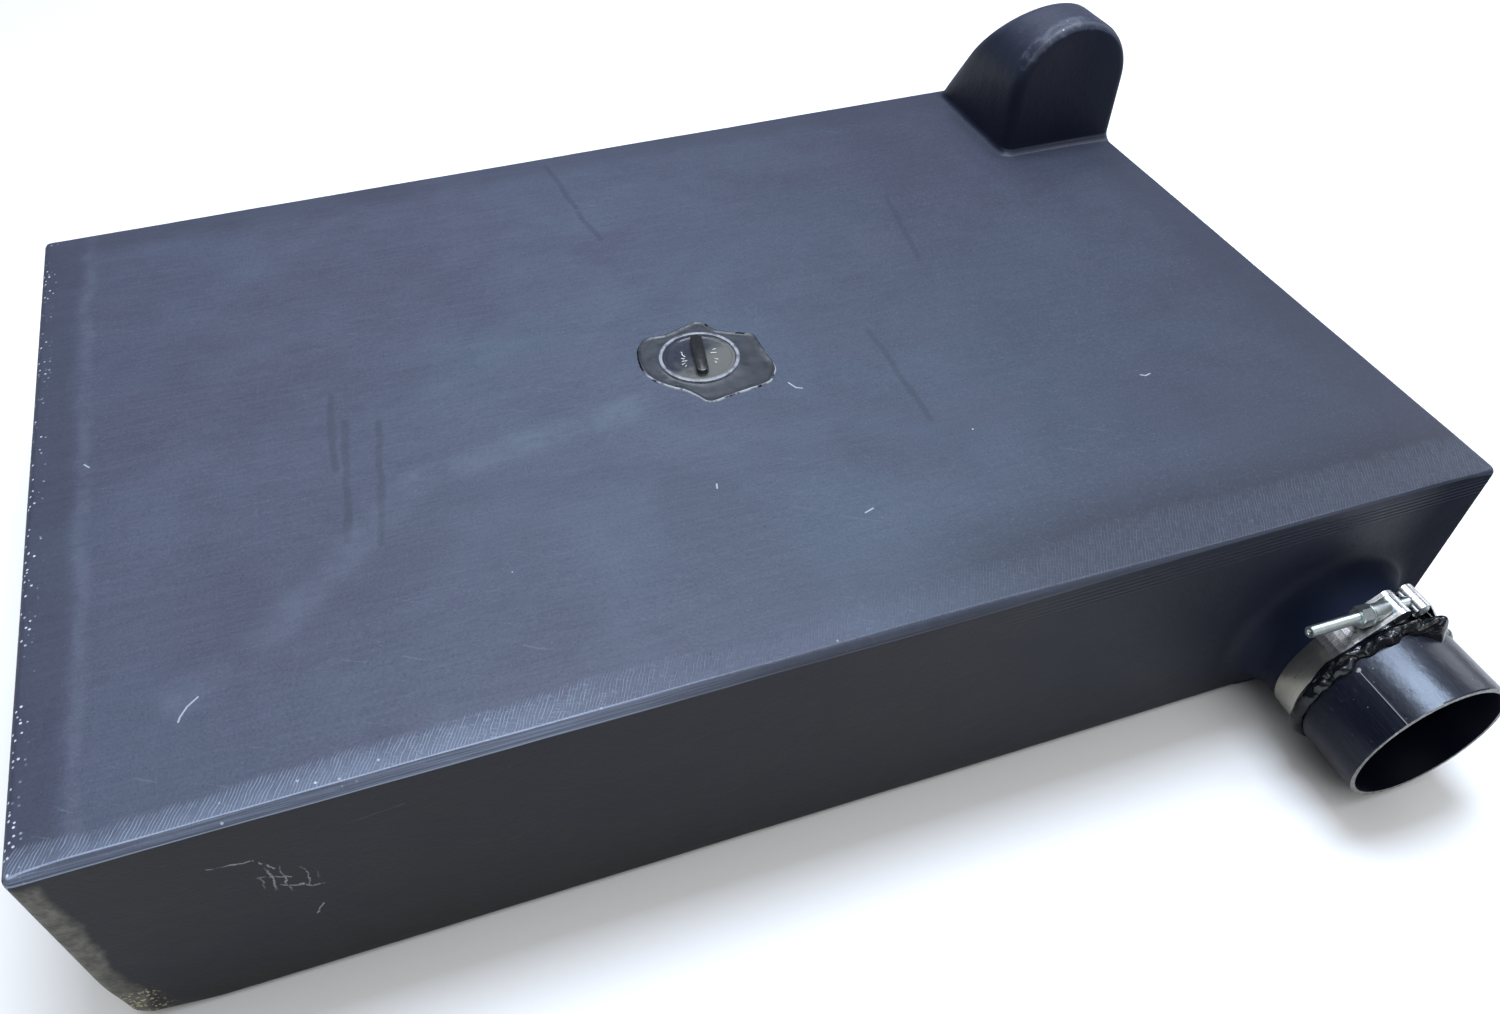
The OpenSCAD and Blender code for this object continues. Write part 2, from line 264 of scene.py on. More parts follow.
class Value:
    """A number, colour or place that varies over a surface. Arithmetic on it adds math nodes."""

    def __init__(self, look, socket):
        self.look = look
        self.socket = socket

    def __add__(self, other):
        return self.look.math("ADD", self, other)

    def __radd__(self, number):
        return self.look.math("ADD", number, self)

    def __mul__(self, other):
        return self.look.math("MULTIPLY", self, other)

    def __neg__(self):
        return self * -1.0

    def __sub__(self, other):
        return self + -other

    def __rsub__(self, number):
        return number + -self

    def __pow__(self, power):
        return self.look.math("POWER", self, power)

    def __or__(self, other):
        """The larger of two marks, so that either one shows."""
        return self.look.math("MAXIMUM", self, other)

    def ramp(self, low, high, start=0.0, end=1.0):
        """start below low, end above high, smooth between; low may be the larger one."""
        if low > high:
            low, high, start, end = high, low, end, start
        return self.look.value("ShaderNodeMapRange", self, low, high, start, end,
                               interpolation_type="SMOOTHSTEP")

    def window(self, low, high, soft):
        """1 between low and high, fading to 0 over soft on both sides."""
        return self.ramp(low - soft, low) * self.ramp(high + soft, high)


def any_of(marks):
    return functools.reduce(operator.or_, marks)


def with_alpha(colour):
    return colour if isinstance(colour, Value) else (*colour, 1.0)


class Look:
    """One node material. Its methods take Values or plain numbers, and colours as red, green and blue."""

    def __init__(self, name, **shader):
        self.material = bpy.data.materials.new(name)
        self.material.use_nodes = True
        self.tree = self.material.node_tree
        self.shader = self.tree.nodes["Principled BSDF"]
        for socket, value in shader.items():
            self.shader.inputs[socket.replace("_", " ")].default_value = value
        self.place = self.value("ShaderNodeTexCoord", output="Object")
        self.normal = self.value("ShaderNodeNewGeometry", output="Normal")
        self.paint = None
        self.relief = None

    def node(self, kind, *inputs, **settings):
        made = self.tree.nodes.new(kind)
        for key, value in settings.items():
            setattr(made, key, value)
        for socket, value in zip(made.inputs, inputs):
            self.feed(socket, value)
        return made

    def value(self, kind, *inputs, output=0, **settings):
        return Value(self, self.node(kind, *inputs, **settings).outputs[output])

    def feed(self, socket, value):
        if isinstance(value, Value):
            self.tree.links.new(value.socket, socket)
        elif value is not None:
            socket.default_value = value

    def math(self, operation, a, b=None, clamp=False):
        return self.value("ShaderNodeMath", a, b, operation=operation, use_clamp=clamp)

    def vector_math(self, operation, a, b, output=0):
        return self.value("ShaderNodeVectorMath", a, b, operation=operation, output=output)

    def split(self, vector=None):
        parts = self.node("ShaderNodeSeparateXYZ", vector or self.place).outputs
        return [Value(self, part) for part in parts[:3]]

    def join(self, x, y, z=0.0):
        return self.value("ShaderNodeCombineXYZ", x, y, z)

    def noise(self, scale, detail=3.0, roughness=0.55, vector=None, distortion=0.0):
        made = self.node("ShaderNodeTexNoise")
        self.feed(made.inputs["Vector"], vector or self.place)
        self.feed(made.inputs["Scale"], scale)
        self.feed(made.inputs["Detail"], detail)
        self.feed(made.inputs["Roughness"], roughness)
        self.feed(made.inputs["Distortion"], distortion)
        return Value(self, made.outputs["Fac"])

    def wander(self, reach, *noise):
        """Noise round 0, that stays within about half the reach on both sides."""
        return (self.noise(*noise) - 0.5) * reach

    def cells(self, scale, vector=None, feature="F1"):
        """The outputs of a Voronoi pattern by name: Distance, and for most features Color."""
        made = self.node("ShaderNodeTexVoronoi", feature=feature)
        self.feed(made.inputs["Vector"], vector or self.place)
        self.feed(made.inputs["Scale"], scale)
        return {output.name: Value(self, output) for output in made.outputs}

    def spots(self, scale, size, share):
        """Small scattered spots: 1 inside the spots of a share of the cells."""
        cells = self.cells(scale)
        chance = self.split(cells["Color"])[0]
        return cells["Distance"].ramp(size, size * 0.6) * chance.ramp(share, share * 0.9)

    def off_stroke(self, point, a, b):
        """Distance from a point to the straight stroke between two fixed places, each a flat pair."""
        a, b = Vector((*a, 0.0)), Vector((*b, 0.0))
        run = b - a
        from_a = self.vector_math("SUBTRACT", point, tuple(a))
        dot = self.vector_math("DOT_PRODUCT", from_a, tuple(run), "Value")
        foot = self.node("ShaderNodeVectorMath", tuple(run), operation="SCALE")
        self.feed(foot.inputs["Scale"], self.math("MULTIPLY", dot, 1 / run.length_squared, clamp=True))
        return self.vector_math("DISTANCE", from_a, Value(self, foot.outputs[0]), "Value")

    def line_mark(self, point, places, width):
        """1 on a chain of straight strokes, fading to 0 at the width's edges."""
        strokes = zip(places, places[1:])
        return any_of([self.off_stroke(point, a, b).ramp(width, width * 0.3) for a, b in strokes])

    def mix(self, share, a, b):
        made = self.node("ShaderNodeMix", data_type="RGBA")
        self.feed(made.inputs["Factor"], share)
        for socket, colour in zip(made.inputs[6:8], (a, b)):
            self.feed(socket, with_alpha(colour))
        return Value(self, made.outputs[2])

    def base(self, share, a, b):
        """Starts the surface's colour as a blend of two."""
        self.paint = self.mix(share, a, b)
        self.feed(self.shader.inputs["Base Color"], self.paint)

    def coat(self, share, colour):
        """Covers a share of the colour so far with another one."""
        self.base(share, self.paint, colour)

    def set(self, socket, value):
        self.feed(self.shader.inputs[socket], value)

    def bump(self, height, depth):
        """Adds relief; depth is the height in metres that a value of 1 stands for."""
        made = self.node("ShaderNodeBump")
        self.feed(made.inputs["Distance"], depth)
        self.feed(made.inputs["Height"], height)
        self.feed(made.inputs["Normal"], self.relief)
        self.relief = Value(self, made.outputs[0])
        self.feed(self.shader.inputs["Normal"], self.relief)


# ---------------------------------------------------------------- the tank's material


# long dark marks on the top, as X and Y in metres
DRIPS = (
    ((-0.253, -0.007), (-0.265, -0.125)),
    ((-0.231, -0.015), (-0.246, -0.136)),
    ((-0.259, 0.024), (-0.266, -0.057)),
    ((-0.040, 0.289), (-0.026, 0.154)),
    ((0.223, 0.141), (0.208, 0.041)),
    ((0.131, -0.032), (0.128, -0.140)),
)
RUBBED_STREAK = ((-0.370, -0.219), (-0.322, -0.191), (-0.214, -0.085), (-0.115, -0.066), (-0.056, -0.059))

# short white scratches on the top, as X and Y in metres
TOP_SCRATCHES = (
    ((-0.360, -0.221), (-0.366, -0.226), (-0.370, -0.232), (-0.371, -0.235)),
    ((0.051, -0.070), (0.054, -0.077), (0.058, -0.079)),
    ((0.291, -0.145), (0.294, -0.147), (0.298, -0.146)),
    ((-0.032, -0.153), (-0.033, -0.157)),
    ((0.048, -0.210), (0.054, -0.208)),
    ((-0.423, 0.004), (-0.420, 0.000)),
)

# on the front wall, as X and Z in metres
FRONT_SCUFFS = (
    ((-0.352, 0.123), (-0.336, 0.115)),
    ((-0.341, 0.109), (-0.322, 0.098)),
    ((-0.372, 0.143), (-0.350, 0.139)),
    ((-0.347, 0.136), (-0.341, 0.128)),
    ((-0.326, 0.078), (-0.332, 0.070)),
)
SCUFF_HEART = ((-0.343, 0.118), (-0.333, 0.110))

SCRAPE_SPACING = 1.8 * MM
GROOVE_SPACING = 3.4 * MM


class TankLook(Look):
    """Satin moulded polyethylene: mottled, scraped along its front edge, scuffed and dusty, with painted
    sheen, highlights and shade.
    """

    def __init__(self):
        super().__init__("moulded_tank")
        self.x, self.y, self.z = x, y, z = self.split()
        self.facing = facing = self.split(self.normal)
        self.inward = y + HALF_W
        self.on_top = facing[2].ramp(0.30, 0.85) * z.ramp(TANK_H - 0.022, TANK_H - 0.004)
        self.low_top = facing[2].ramp(0.6, 0.9) * z.window(TANK_H - 0.006, TANK_H + 0.003, 0.003)
        self.front = facing[1].ramp(-0.6, -0.95)
        self.facet = (facing[2].window(0.42, 0.86, 0.12) * facing[1].ramp(-0.3, -0.5)
                      * z.ramp(TANK_H - 0.012, TANK_H - 0.008))
        self.paint_bare_wall()
        self.paint_top_film_and_sheen()
        self.paint_borders()
        self.paint_drips()
        self.paint_scrapes()
        self.paint_planed_edge()
        self.paint_nicks()
        self.paint_scuffs()
        self.paint_worn_corner()
        self.set_gloss()

    def paint_bare_wall(self):
        """Nearly black plastic, greyer with dust on the front."""
        grime = self.noise(9.0, 5.0, 0.65, distortion=0.5)
        self.base(grime.ramp(0.35, 0.7), (0.0105, 0.0145, 0.0300), (0.0155, 0.0195, 0.0350))
        greyed = (self.front * self.x.ramp(0.42, -0.05, 0.25, 1.0) * grime.ramp(0.25, 0.7, 0.7, 1.0)
                  * self.z.ramp(TANK_H + 0.01, TANK_H - 0.01))
        self.coat(greyed, (0.0218, 0.0215, 0.0240))

    def paint_top_film_and_sheen(self):
        """The top's weathered layer, part wear and part painted sheen: slate, more violet round its edges,
        bluish in its middle as painted sheen, darker towards the right and front right, and thinner at the
        hump's foot as painted shade.
        """
        x, y, z = self.x, self.y, self.z
        blotches = self.noise(4.2, 3.0, 0.6, distortion=0.7)
        cloud = self.noise(11.0, 5.0, 0.62, distortion=0.4)
        grain = self.noise(620.0, 3.0, 0.75)
        streaks = self.noise(1.0, 4.0, 0.6, self.vector_math("MULTIPLY", self.place, (24.0, 420.0, 1.0)))
        # painted sheen: bluish in the middle of the top, among random blotches
        middle = ((x - 0.03) * 2.6) ** 2.0 + ((y + 0.08) * 3.6) ** 2.0
        sheen_and_blotches = middle.ramp(1.3, 0.1, 0.05, 0.75) + blotches.ramp(0.40, 0.64, -0.25, 0.35)
        sheen_and_blotches = self.math("ADD", sheen_and_blotches, 0.0, clamp=True)
        film_and_sheen = self.mix(sheen_and_blotches, (0.048, 0.052, 0.086), (0.052, 0.074, 0.110))
        front_right = x.ramp(-0.05, 0.20) * self.inward.ramp(0.085, 0.018)
        for share, tint in (
            (cloud.ramp(0.38, 0.72) * 0.26, (0.088, 0.108, 0.158)),
            (cloud.ramp(0.50, 0.30) * 0.24, (0.038, 0.042, 0.070)),
            (streaks.ramp(0.35, 0.75) * 0.22, (0.095, 0.115, 0.165)),
            (x.ramp(-0.16, 0.44, 0.08, 0.58), (0.022, 0.024, 0.038)),
            (front_right * 0.72, (0.015, 0.017, 0.026)),
            (grain.ramp(0.52, 0.80) * 0.55, (0.100, 0.120, 0.160)),
            (grain.ramp(0.48, 0.25) * 0.55, (0.018, 0.021, 0.036)),
        ):
            film_and_sheen = self.mix(share, film_and_sheen, tint)
        # the layer, partly painted sheen, covers the faces that look up; painted shade thins it at the hump's
        # foot
        patchy = (self.facing[2] + self.wander(0.5, 38.0, 4.0, 0.65)).ramp(0.45, 0.95)
        foot_shade = z.window(TANK_H + 0.0045, TANK_H + 0.012, 0.0043) * y.ramp(0.05, 0.10)
        self.coat(self.on_top * patchy * (1.0 + foot_shade * -0.6), film_and_sheen)
        arch = (z.ramp(TANK_H + 0.045, TANK_H + 0.075) * (y - HUMP_FRONT).window(0.001, 0.012, 0.006)
                * self.facing[2].ramp(0.15, 0.5) * x.ramp(HUMP_X + 0.035, HUMP_X)
                * self.noise(60.0, 4.0, 0.7, distortion=1.0).ramp(0.42, 0.62))
        self.coat(arch * 0.24, (0.20, 0.23, 0.29))

    def paint_borders(self):
        """Darker along the left, back and right sides, with a rubbed line inside the left one."""
        uneven = self.wander(0.016, 24.0, 3.0, 0.6)
        self.left_in = self.x + HALF_L + uneven
        right_in = HALF_L - self.x + uneven
        back_in = HALF_W - self.y + uneven
        border = self.left_in.ramp(0.036, 0.024) | right_in.ramp(0.060, 0.026) | back_in.ramp(0.050, 0.020)
        self.coat(border * self.low_top * 0.42, (0.030, 0.033, 0.052))
        rubbed_line = self.left_in.window(0.036, 0.038, 0.006) * self.noise(30.0, 4.0, 0.7).ramp(0.3, 0.65)
        self.coat(rubbed_line * self.low_top * 0.20, (0.13, 0.15, 0.20))

    def paint_drips(self):
        """Drips, a rubbed streak and fine swirls on the top."""
        x, y = self.x, self.y
        sway = self.join(self.wander(0.006, 40.0, 2.0), self.wander(0.012, 15.0, 2.0))
        bent = self.vector_math("ADD", self.join(x, y), sway)
        drips = any_of([self.line_mark(bent, places, 0.0036) for places in DRIPS])
        self.coat(drips * self.low_top * 0.42, (0.026, 0.030, 0.048))
        streak = self.line_mark(bent, RUBBED_STREAK, 0.019) * self.noise(22.0, 4.0, 0.7).ramp(0.3, 0.7)
        self.coat(streak * self.low_top * 0.17, (0.15, 0.19, 0.25))
        leaning = self.join((x * 0.5 + y * 0.86) * 420.0, (x * 0.86 + y * -0.5) * 34.0)
        swirls = (self.noise(1.0, 4.0, 0.7, leaning, 1.2).ramp(0.60, 0.72)
                  * self.noise(8.0, 2.0).ramp(0.45, 0.65) * self.on_top)
        self.coat(swirls * 0.22, (0.17, 0.20, 0.26))

    def paint_scrapes(self):
        """Scrape marks that lean across the top's front edge, over a pale band that is part scratch wear and
        part painted sheen.
        """
        x, y = self.x, self.y
        across = x * 0.88 + y * -0.47
        along = x * 0.47 + y * 0.88
        lean_waves = self.math("SINE", across * (2 * math.pi / SCRAPE_SPACING) + self.noise(55.0, 2.0) * 14.0)
        lengths = self.noise(1.0, 1.0, 0.5, self.join(across * 640.0, along * 80.0))
        crossing = self.noise(1.0, 1.0, 0.5, self.join(along * 900.0, across * 170.0, 3.0))
        self.strokes = (lean_waves.ramp(0.0, 0.95) * lengths.ramp(0.30, 0.62)
                        | crossing.ramp(0.52, 0.68) * x.ramp(-0.34, -0.20, 0.1, 0.5))
        past = self.inward - (x.ramp(-HALF_L, 0.26, 0.016, 0.036) + self.wander(0.024, 14.0, 3.0, 0.6))
        self.scraped = past.ramp(0.004, -0.003) * self.low_top
        # a pale band along the front edge, part scratch wear and part painted sheen
        self.haze_and_sheen = past.ramp(0.004, -0.016) * self.low_top * x.ramp(-0.12, -0.25, 0.20, 1.0)
        self.coat(self.haze_and_sheen * 0.60, (0.125, 0.150, 0.215))
        self.coat(self.scraped * self.strokes * x.ramp(-0.04, -0.22, 0.14, 0.62), (0.24, 0.29, 0.38))
        pits = self.scraped * self.strokes.ramp(0.4, 0.0) * x.ramp(0.05, 0.22)
        self.coat(pits * 0.5, (0.030, 0.034, 0.050))

    def paint_planed_edge(self):
        """A paler facet, part wear and part painted sheen, between two painted highlight lines, fading out to
        the right, over fine grooves.
        """
        x, z, facing = self.x, self.z, self.facing
        lines = self.noise(1.0, 2.0, 0.6, self.join(x * 9.0, self.y * 1500.0, z * 1500.0))
        shine = x.ramp(-0.02, -0.20, 0.16, 1.0)
        facet_wear_and_sheen = self.mix(lines.ramp(0.35, 0.7), (0.056, 0.068, 0.104), (0.14, 0.168, 0.235))
        # the facet's paler colour is part wear and part painted sheen
        self.coat(self.facet * shine, facet_wear_and_sheen)
        edge_highlights = facing[2].window(0.87, 0.97, 0.03) | facing[2].window(0.22, 0.40, 0.08)
        edge_highlights = (edge_highlights * facing[1].ramp(-0.15, -0.3) * z.ramp(TANK_H - 0.014, TANK_H - 0.009) * shine
                * z.ramp(TANK_H + 0.006, TANK_H + 0.003) * lines.ramp(0.25, 0.5))
        # painted highlights along both edges of the facet
        self.coat(edge_highlights * 0.75, (0.30, 0.35, 0.46))
        self.groove_waves = self.math("SINE", (z + x * -0.008) * (2 * math.pi / GROOVE_SPACING))
        self.grooves = (TANK_H - z).window(0.008, 0.020, 0.003) * self.front * x.ramp(0.08, 0.2)
        self.coat(self.grooves * self.groove_waves.ramp(0.2, 0.9) * 0.45, (0.050, 0.058, 0.085))

    def paint_nicks(self):
        """Pale specks and scratches on the top, and nicks along its edges."""
        x, y, z = self.x, self.y, self.z
        specks = self.spots(34.0, 0.030, 0.16) * self.low_top
        nicks = (self.spots(150.0, 0.16, 0.5) * self.inward.ramp(0.022, 0.002)
                 * self.facing[2].ramp(0.5, 0.8) * self.noise(13.0, 2.0).ramp(0.5, 0.62)
                 * z.window(TANK_H - 0.008, TANK_H + 0.004, 0.002))
        left_nicks = (self.spots(260.0, 0.26, 0.75) * self.left_in.ramp(0.014, 0.006)
                      * z.ramp(TANK_H - 0.012, TANK_H - 0.006) * self.noise(16.0, 2.0).ramp(0.36, 0.52))
        arch_nicks = (self.spots(160.0, 0.16, 0.5) * z.ramp(TANK_H + 0.05, TANK_H + 0.08)
                      * x.ramp(HUMP_X + 0.02, HUMP_X - 0.01) * (y - HUMP_FRONT).window(0.003, 0.012, 0.003)
                      * self.noise(40.0, 3.0).ramp(0.45, 0.6))
        flat_place = self.join(x, y)
        scratches = any_of([self.line_mark(flat_place, places, 0.0008) for places in TOP_SCRATCHES])
        marks = specks | nicks | left_nicks | arch_nicks | scratches * self.low_top * 0.55
        self.coat(marks, (0.50, 0.55, 0.62))

    def paint_scuffs(self):
        """Scuffs and hair-fine streaks on the front wall."""
        x, z = self.x, self.z
        sway = self.join(self.wander(0.010, 70.0, 3.0), self.wander(0.010, 90.0, 3.0))
        wall_place = self.vector_math("ADD", self.join(x, z), sway)
        scuffs = any_of([self.line_mark(wall_place, places, 0.0009) for places in FRONT_SCUFFS])
        upright = self.vector_math("MULTIPLY", wall_place, (1.0, 0.0, 1.0))
        cell_edges = self.cells(130.0, upright, "DISTANCE_TO_EDGE")["Distance"].ramp(0.075, 0.02)
        ticks = cell_edges * self.off_stroke(wall_place, *SCUFF_HEART).ramp(0.013, 0.006)
        scuffs = (scuffs | ticks) * self.noise(260.0, 3.0, 0.7).ramp(0.38, 0.54) * self.front
        hairs = (self.noise(1.0, 3.0, 0.7, self.join(x * 26.0, 0.0, z * 300.0), 1.5).ramp(0.66, 0.74)
                 * self.front * self.noise(11.0, 2.0).ramp(0.5, 0.7))
        self.coat(scuffs * 0.9 + hairs * 0.22, (0.26, 0.27, 0.29))

    def paint_worn_corner(self):
        """A worn, earthy strip down the front left edge, with yellow grains at its foot."""
        z, inward = self.z, self.inward
        ragged = self.left_in + self.wander(0.012, 45.0, 4.0, 0.6)
        self.strip = (ragged.ramp(0.020, 0.013) * inward.ramp(0.03, 0.01)
                      * z.ramp(TANK_H - 0.006, TANK_H - 0.014))
        tone = self.noise(75.0, 4.0, 0.7).ramp(0.35, 0.65)
        earthy = self.mix(tone, (0.072, 0.069, 0.062), (0.150, 0.142, 0.124))
        self.coat(self.strip * self.noise(24.0, 4.0, 0.7).ramp(0.22, 0.5, 0.65, 1.0), earthy)
        foot = z.window(0.006, 0.034, 0.008) * ragged.ramp(0.030, 0.016) * inward.ramp(0.03, 0.01)
        grains = (self.spots(420.0, 0.42, 0.8) | self.spots(260.0, 0.34, 0.7)) * foot
        self.coat(grains, (0.44, 0.39, 0.22))

    def set_gloss(self):
        """Painted shade and duller gloss where other parts shade the wall and on the neck's upward faces,
        with fine relief all over.
        """
        x, inward = self.x, self.inward
        dull = (inward.ramp(0.0, -0.006)
                | self.z.window(TANK_H + 0.001, TANK_H + 0.006, 0.001) * self.y.ramp(0.05, 0.10)
                | self.front * x.ramp(0.36, 0.43))
        shaded = (x.ramp(0.36, 0.42) * inward.ramp(0.004, 0.0)
                  | self.facing[2].ramp(0.05, 0.55) * inward.ramp(0.0, -0.005))
        # painted shade
        self.coat(shaded * 0.35, (0.004, 0.006, 0.013))
        gloss = 0.16 + self.on_top * 0.09 + self.facet * 0.2 + dull * -0.10 + shaded * -0.05
        self.set("Specular IOR Level", gloss)
        self.set("Roughness", 0.46 + self.noise(26.0, 4.0, 0.6) * 0.12 + self.haze_and_sheen * -0.06)
        self.bump(self.noise(420.0, 3.0, 0.6), 0.00022)
        self.bump(self.noise(90.0, 2.0, 0.5), 0.0003)
        self.bump(self.scraped * self.strokes, 0.0002)
        self.bump(self.grooves * self.groove_waves, 0.0003)
        self.bump(self.strip * self.noise(160.0, 4.0, 0.7), 0.0012)


# ---------------------------------------------------------------- the other materials


def patch_look():
    """Melted plastic of the weld patch: smooth and glossy, with painted shade along its rolled edge and a
    painted highlight on its near side.
    """
    look = Look("melted_patch")
    y = look.split()[1]
    facing = look.split(look.normal)
    edge = facing[2].ramp(0.96, 0.88)
    near = (facing[1].ramp(0.10, -0.20) * y.ramp(plug_centre.y + 0.004, plug_centre.y - 0.010)
            * look.noise(120.0, 3.0).ramp(0.3, 0.5))
    tone = look.noise(42.0, 3.0, 0.5, distortion=1.0)
    look.base(tone.ramp(0.3, 0.7), (0.024, 0.028, 0.036), (0.036, 0.042, 0.055))
    # painted shade along the rolled edge
    look.coat(edge, (0.004, 0.005, 0.007))
    # a painted highlight on the rolled edge's near side
    look.coat(edge * near * 0.9, (0.42, 0.45, 0.50))
    look.set("Specular IOR Level", 0.42 + edge * -0.36 + edge * near * 0.5)
    look.set("Roughness", look.noise(110.0, 3.0).ramp(0.3, 0.7, 0.26, 0.36))
    look.bump(look.noise(70.0, 2.0, 0.5), 0.0002)
    return look.material


def plug_look():
    """Glossy injection-moulded plug, darker towards the back left as painted shade and olive towards the
    front right, with paler raised marks.
    """
    look = Look("moulded_plug", Specular_IOR_Level=0.5)
    x, y, z = look.split()
    tone = look.noise(45.0, 2.0, 0.5, distortion=1.0)
    # darker towards the back left as painted shade, olive towards the front right
    shaded_to_olive = (x - plug_centre.x) * 14.0 + (plug_centre.y - y) * 22.0 + tone * 1.1
    look.base(shaded_to_olive.ramp(0.25, 0.85), (0.026, 0.029, 0.044), (0.112, 0.116, 0.112))
    centre = plug_centre.xy
    off_centre = look.off_stroke(look.join(x, y), centre, centre + Vector((0.0, 0.0001)))
    marks = (z.window(TANK_H + 0.00145, TANK_H + 0.00172, 0.0001) * look.noise(500.0, 2.0).ramp(0.3, 0.5)
             * off_centre.ramp(0.0205, 0.0195))
    look.coat(marks, (0.48, 0.49, 0.50))
    bar = z.ramp(TANK_H + 0.0022, TANK_H + 0.0032)
    look.coat(bar, (0.016, 0.018, 0.020))
    look.set("Roughness", look.noise(240.0, 3.0).ramp(0.3, 0.7, 0.12, 0.22))
    look.bump(look.noise(700.0, 2.0), 0.00002)
    return look.material


def collar_look():
    """The fitting's rim, polished by handling."""
    look = Look("fitting_rim", Specular_IOR_Level=0.6)
    look.base(look.noise(150.0, 3.0, 0.6).ramp(0.3, 0.6), (0.10, 0.11, 0.13), (0.24, 0.26, 0.30))
    look.set("Roughness", look.noise(300.0, 3.0).ramp(0.3, 0.7, 0.22, 0.36))
    look.bump(look.noise(350.0, 3.0), 0.00012)
    return look.material


def pipe_look():
    """Glossy extruded pipe with lengthwise drawing lines, scuffs, a pale seam, a cut end partly painted as a
    reflection, and a bore painted darker as shade.
    """
    look = Look("extruded_pipe", Specular_Tint=(0.78, 0.87, 1.0, 1.0))
    x, y, z = look.split()
    side_x, side_z = x - pipe_centre.x, z - pipe_centre.z
    side = look.math("ARCTAN2", side_z, side_x)
    far = (side_x * side_x + side_z * side_z) ** 0.5
    inside = far.ramp(PIPE_R - 0.0030, PIPE_R - 0.0034)
    out = -(y + HALF_W)
    drawn = look.noise(1.0, 3.0, 0.6, look.join(side * 60.0, out * 22.0))
    look.base(drawn.ramp(0.3, 0.75), (0.0030, 0.0036, 0.0090), (0.0080, 0.0095, 0.0190))

    scuff = look.noise(1.0, 4.0, 0.7, look.join(side * 30.0, out * 160.0))
    near_bead = out.ramp(0.096, 0.068)
    look.coat(scuff.ramp(0.52, 0.75) * near_bead * 0.22, (0.10, 0.11, 0.14))

    off_seam = side - PIPE_SEAM
    seam = look.math("ABSOLUTE", off_seam).window(-0.01, 0.002, 0.0035) * out.ramp(0.066, 0.069)
    off_blob = ((off_seam * 55.0) ** 2.0 + ((out - 0.0685) * 1000.0) ** 2.0) ** 0.5
    blob = (off_blob + look.noise(400.0, 2.0) * 3.5).ramp(3.4, 2.4)
    look.coat((seam | blob) * 0.6, (0.46, 0.47, 0.46))
    look.coat(look.spots(480.0, 0.16, 0.05) * side_z.ramp(-0.02, 0.02), (0.35, 0.36, 0.40))

    forward = look.split(look.normal)[1]
    rim = out.ramp(PIPE_OUT - 0.0007, PIPE_OUT - 0.0003) * forward.ramp(-0.3, -0.6)
    # the mouth's face is lighter: part sawn finish and part painted reflection
    sawn_face_and_sheen = look.mix(look.noise(500.0, 3.0).ramp(0.35, 0.7), (0.13, 0.13, 0.125), (0.30, 0.30, 0.29))
    look.coat(rim, sawn_face_and_sheen)
    # painted shade inside the bore
    look.coat(inside, (0.0020, 0.0026, 0.0070))
    under = side_z.ramp(0.034, -0.006) * (1.0 - inside)
    look.set("Specular IOR Level", 0.50 + inside * -0.45 + under * -0.40)
    roughness = drawn.ramp(0.3, 0.75, 0.27, 0.31) + rim * 0.2 + near_bead * 0.05 + inside * 0.15
    look.set("Roughness", roughness)
    look.bump(drawn, 0.00002)
    look.bump(look.noise(150.0, 3.0, 0.55), 0.00026)
    return look.material


def sealant_look():
    """Black gun-applied sealant, glossy where it is thick and dull where it is smeared."""
    look = Look("sealant_bead")
    tone = look.noise(130.0, 4.0, 0.65, distortion=1.0)
    look.base(tone.ramp(0.4, 0.75), (0.003, 0.004, 0.006), (0.010, 0.012, 0.017))
    height = look.split()[2]
    look.set("Specular IOR Level", height.ramp(pipe_centre.z - 0.01, pipe_centre.z + 0.035, 0.12, 0.5))
    look.set("Roughness", look.noise(90.0, 3.0).ramp(0.3, 0.7, 0.08, 0.22))
    look.bump(look.noise(120.0, 3.0, 0.5, distortion=0.8), 0.0009)
    return look.material


def steel_look(name, base, tint, smooth, dull, grain_scale, dents=0.0):
    """Rolled or plated metal, stained with a tint; the grain is long where its scale is low."""
    look = Look(name, Metallic=1.0)
    grain = look.noise(1.0, 4.0, 0.65, look.vector_math("MULTIPLY", look.place, grain_scale))
    stain = look.noise(70.0, 4.0, 0.6, distortion=0.8)
    look.base(grain.ramp(0.25, 0.8), base, tuple(min(1.0, c * 1.12) for c in base))
    look.coat(stain.ramp(0.45, 0.75) * 0.6, tint)
    look.set("Roughness", grain.ramp(0.3, 0.75, smooth, dull) + stain.ramp(0.5, 0.8) * 0.08)
    look.bump(grain, 0.000008)
    look.bump(look.noise(130.0, 2.0, 0.5), dents)
    return look.material


def fitting_look():
    """Satin injection-moulded nylon."""
    look = Look("moulded_fitting", Specular_IOR_Level=0.5)
    up = look.split(look.normal)[2]
    dust = up.ramp(0.2, 0.9) * look.noise(80.0, 4.0).ramp(0.4, 0.7)
    look.base(look.noise(45.0, 4.0, 0.6).ramp(0.3, 0.7), (0.018, 0.019, 0.021), (0.034, 0.035, 0.038))
    look.coat(dust * 0.35, (0.11, 0.11, 0.11))
    look.set("Roughness", look.noise(200.0, 3.0).ramp(0.3, 0.7, 0.34, 0.5))
    look.bump(look.noise(900.0, 2.0), 0.00006)
    return look.material


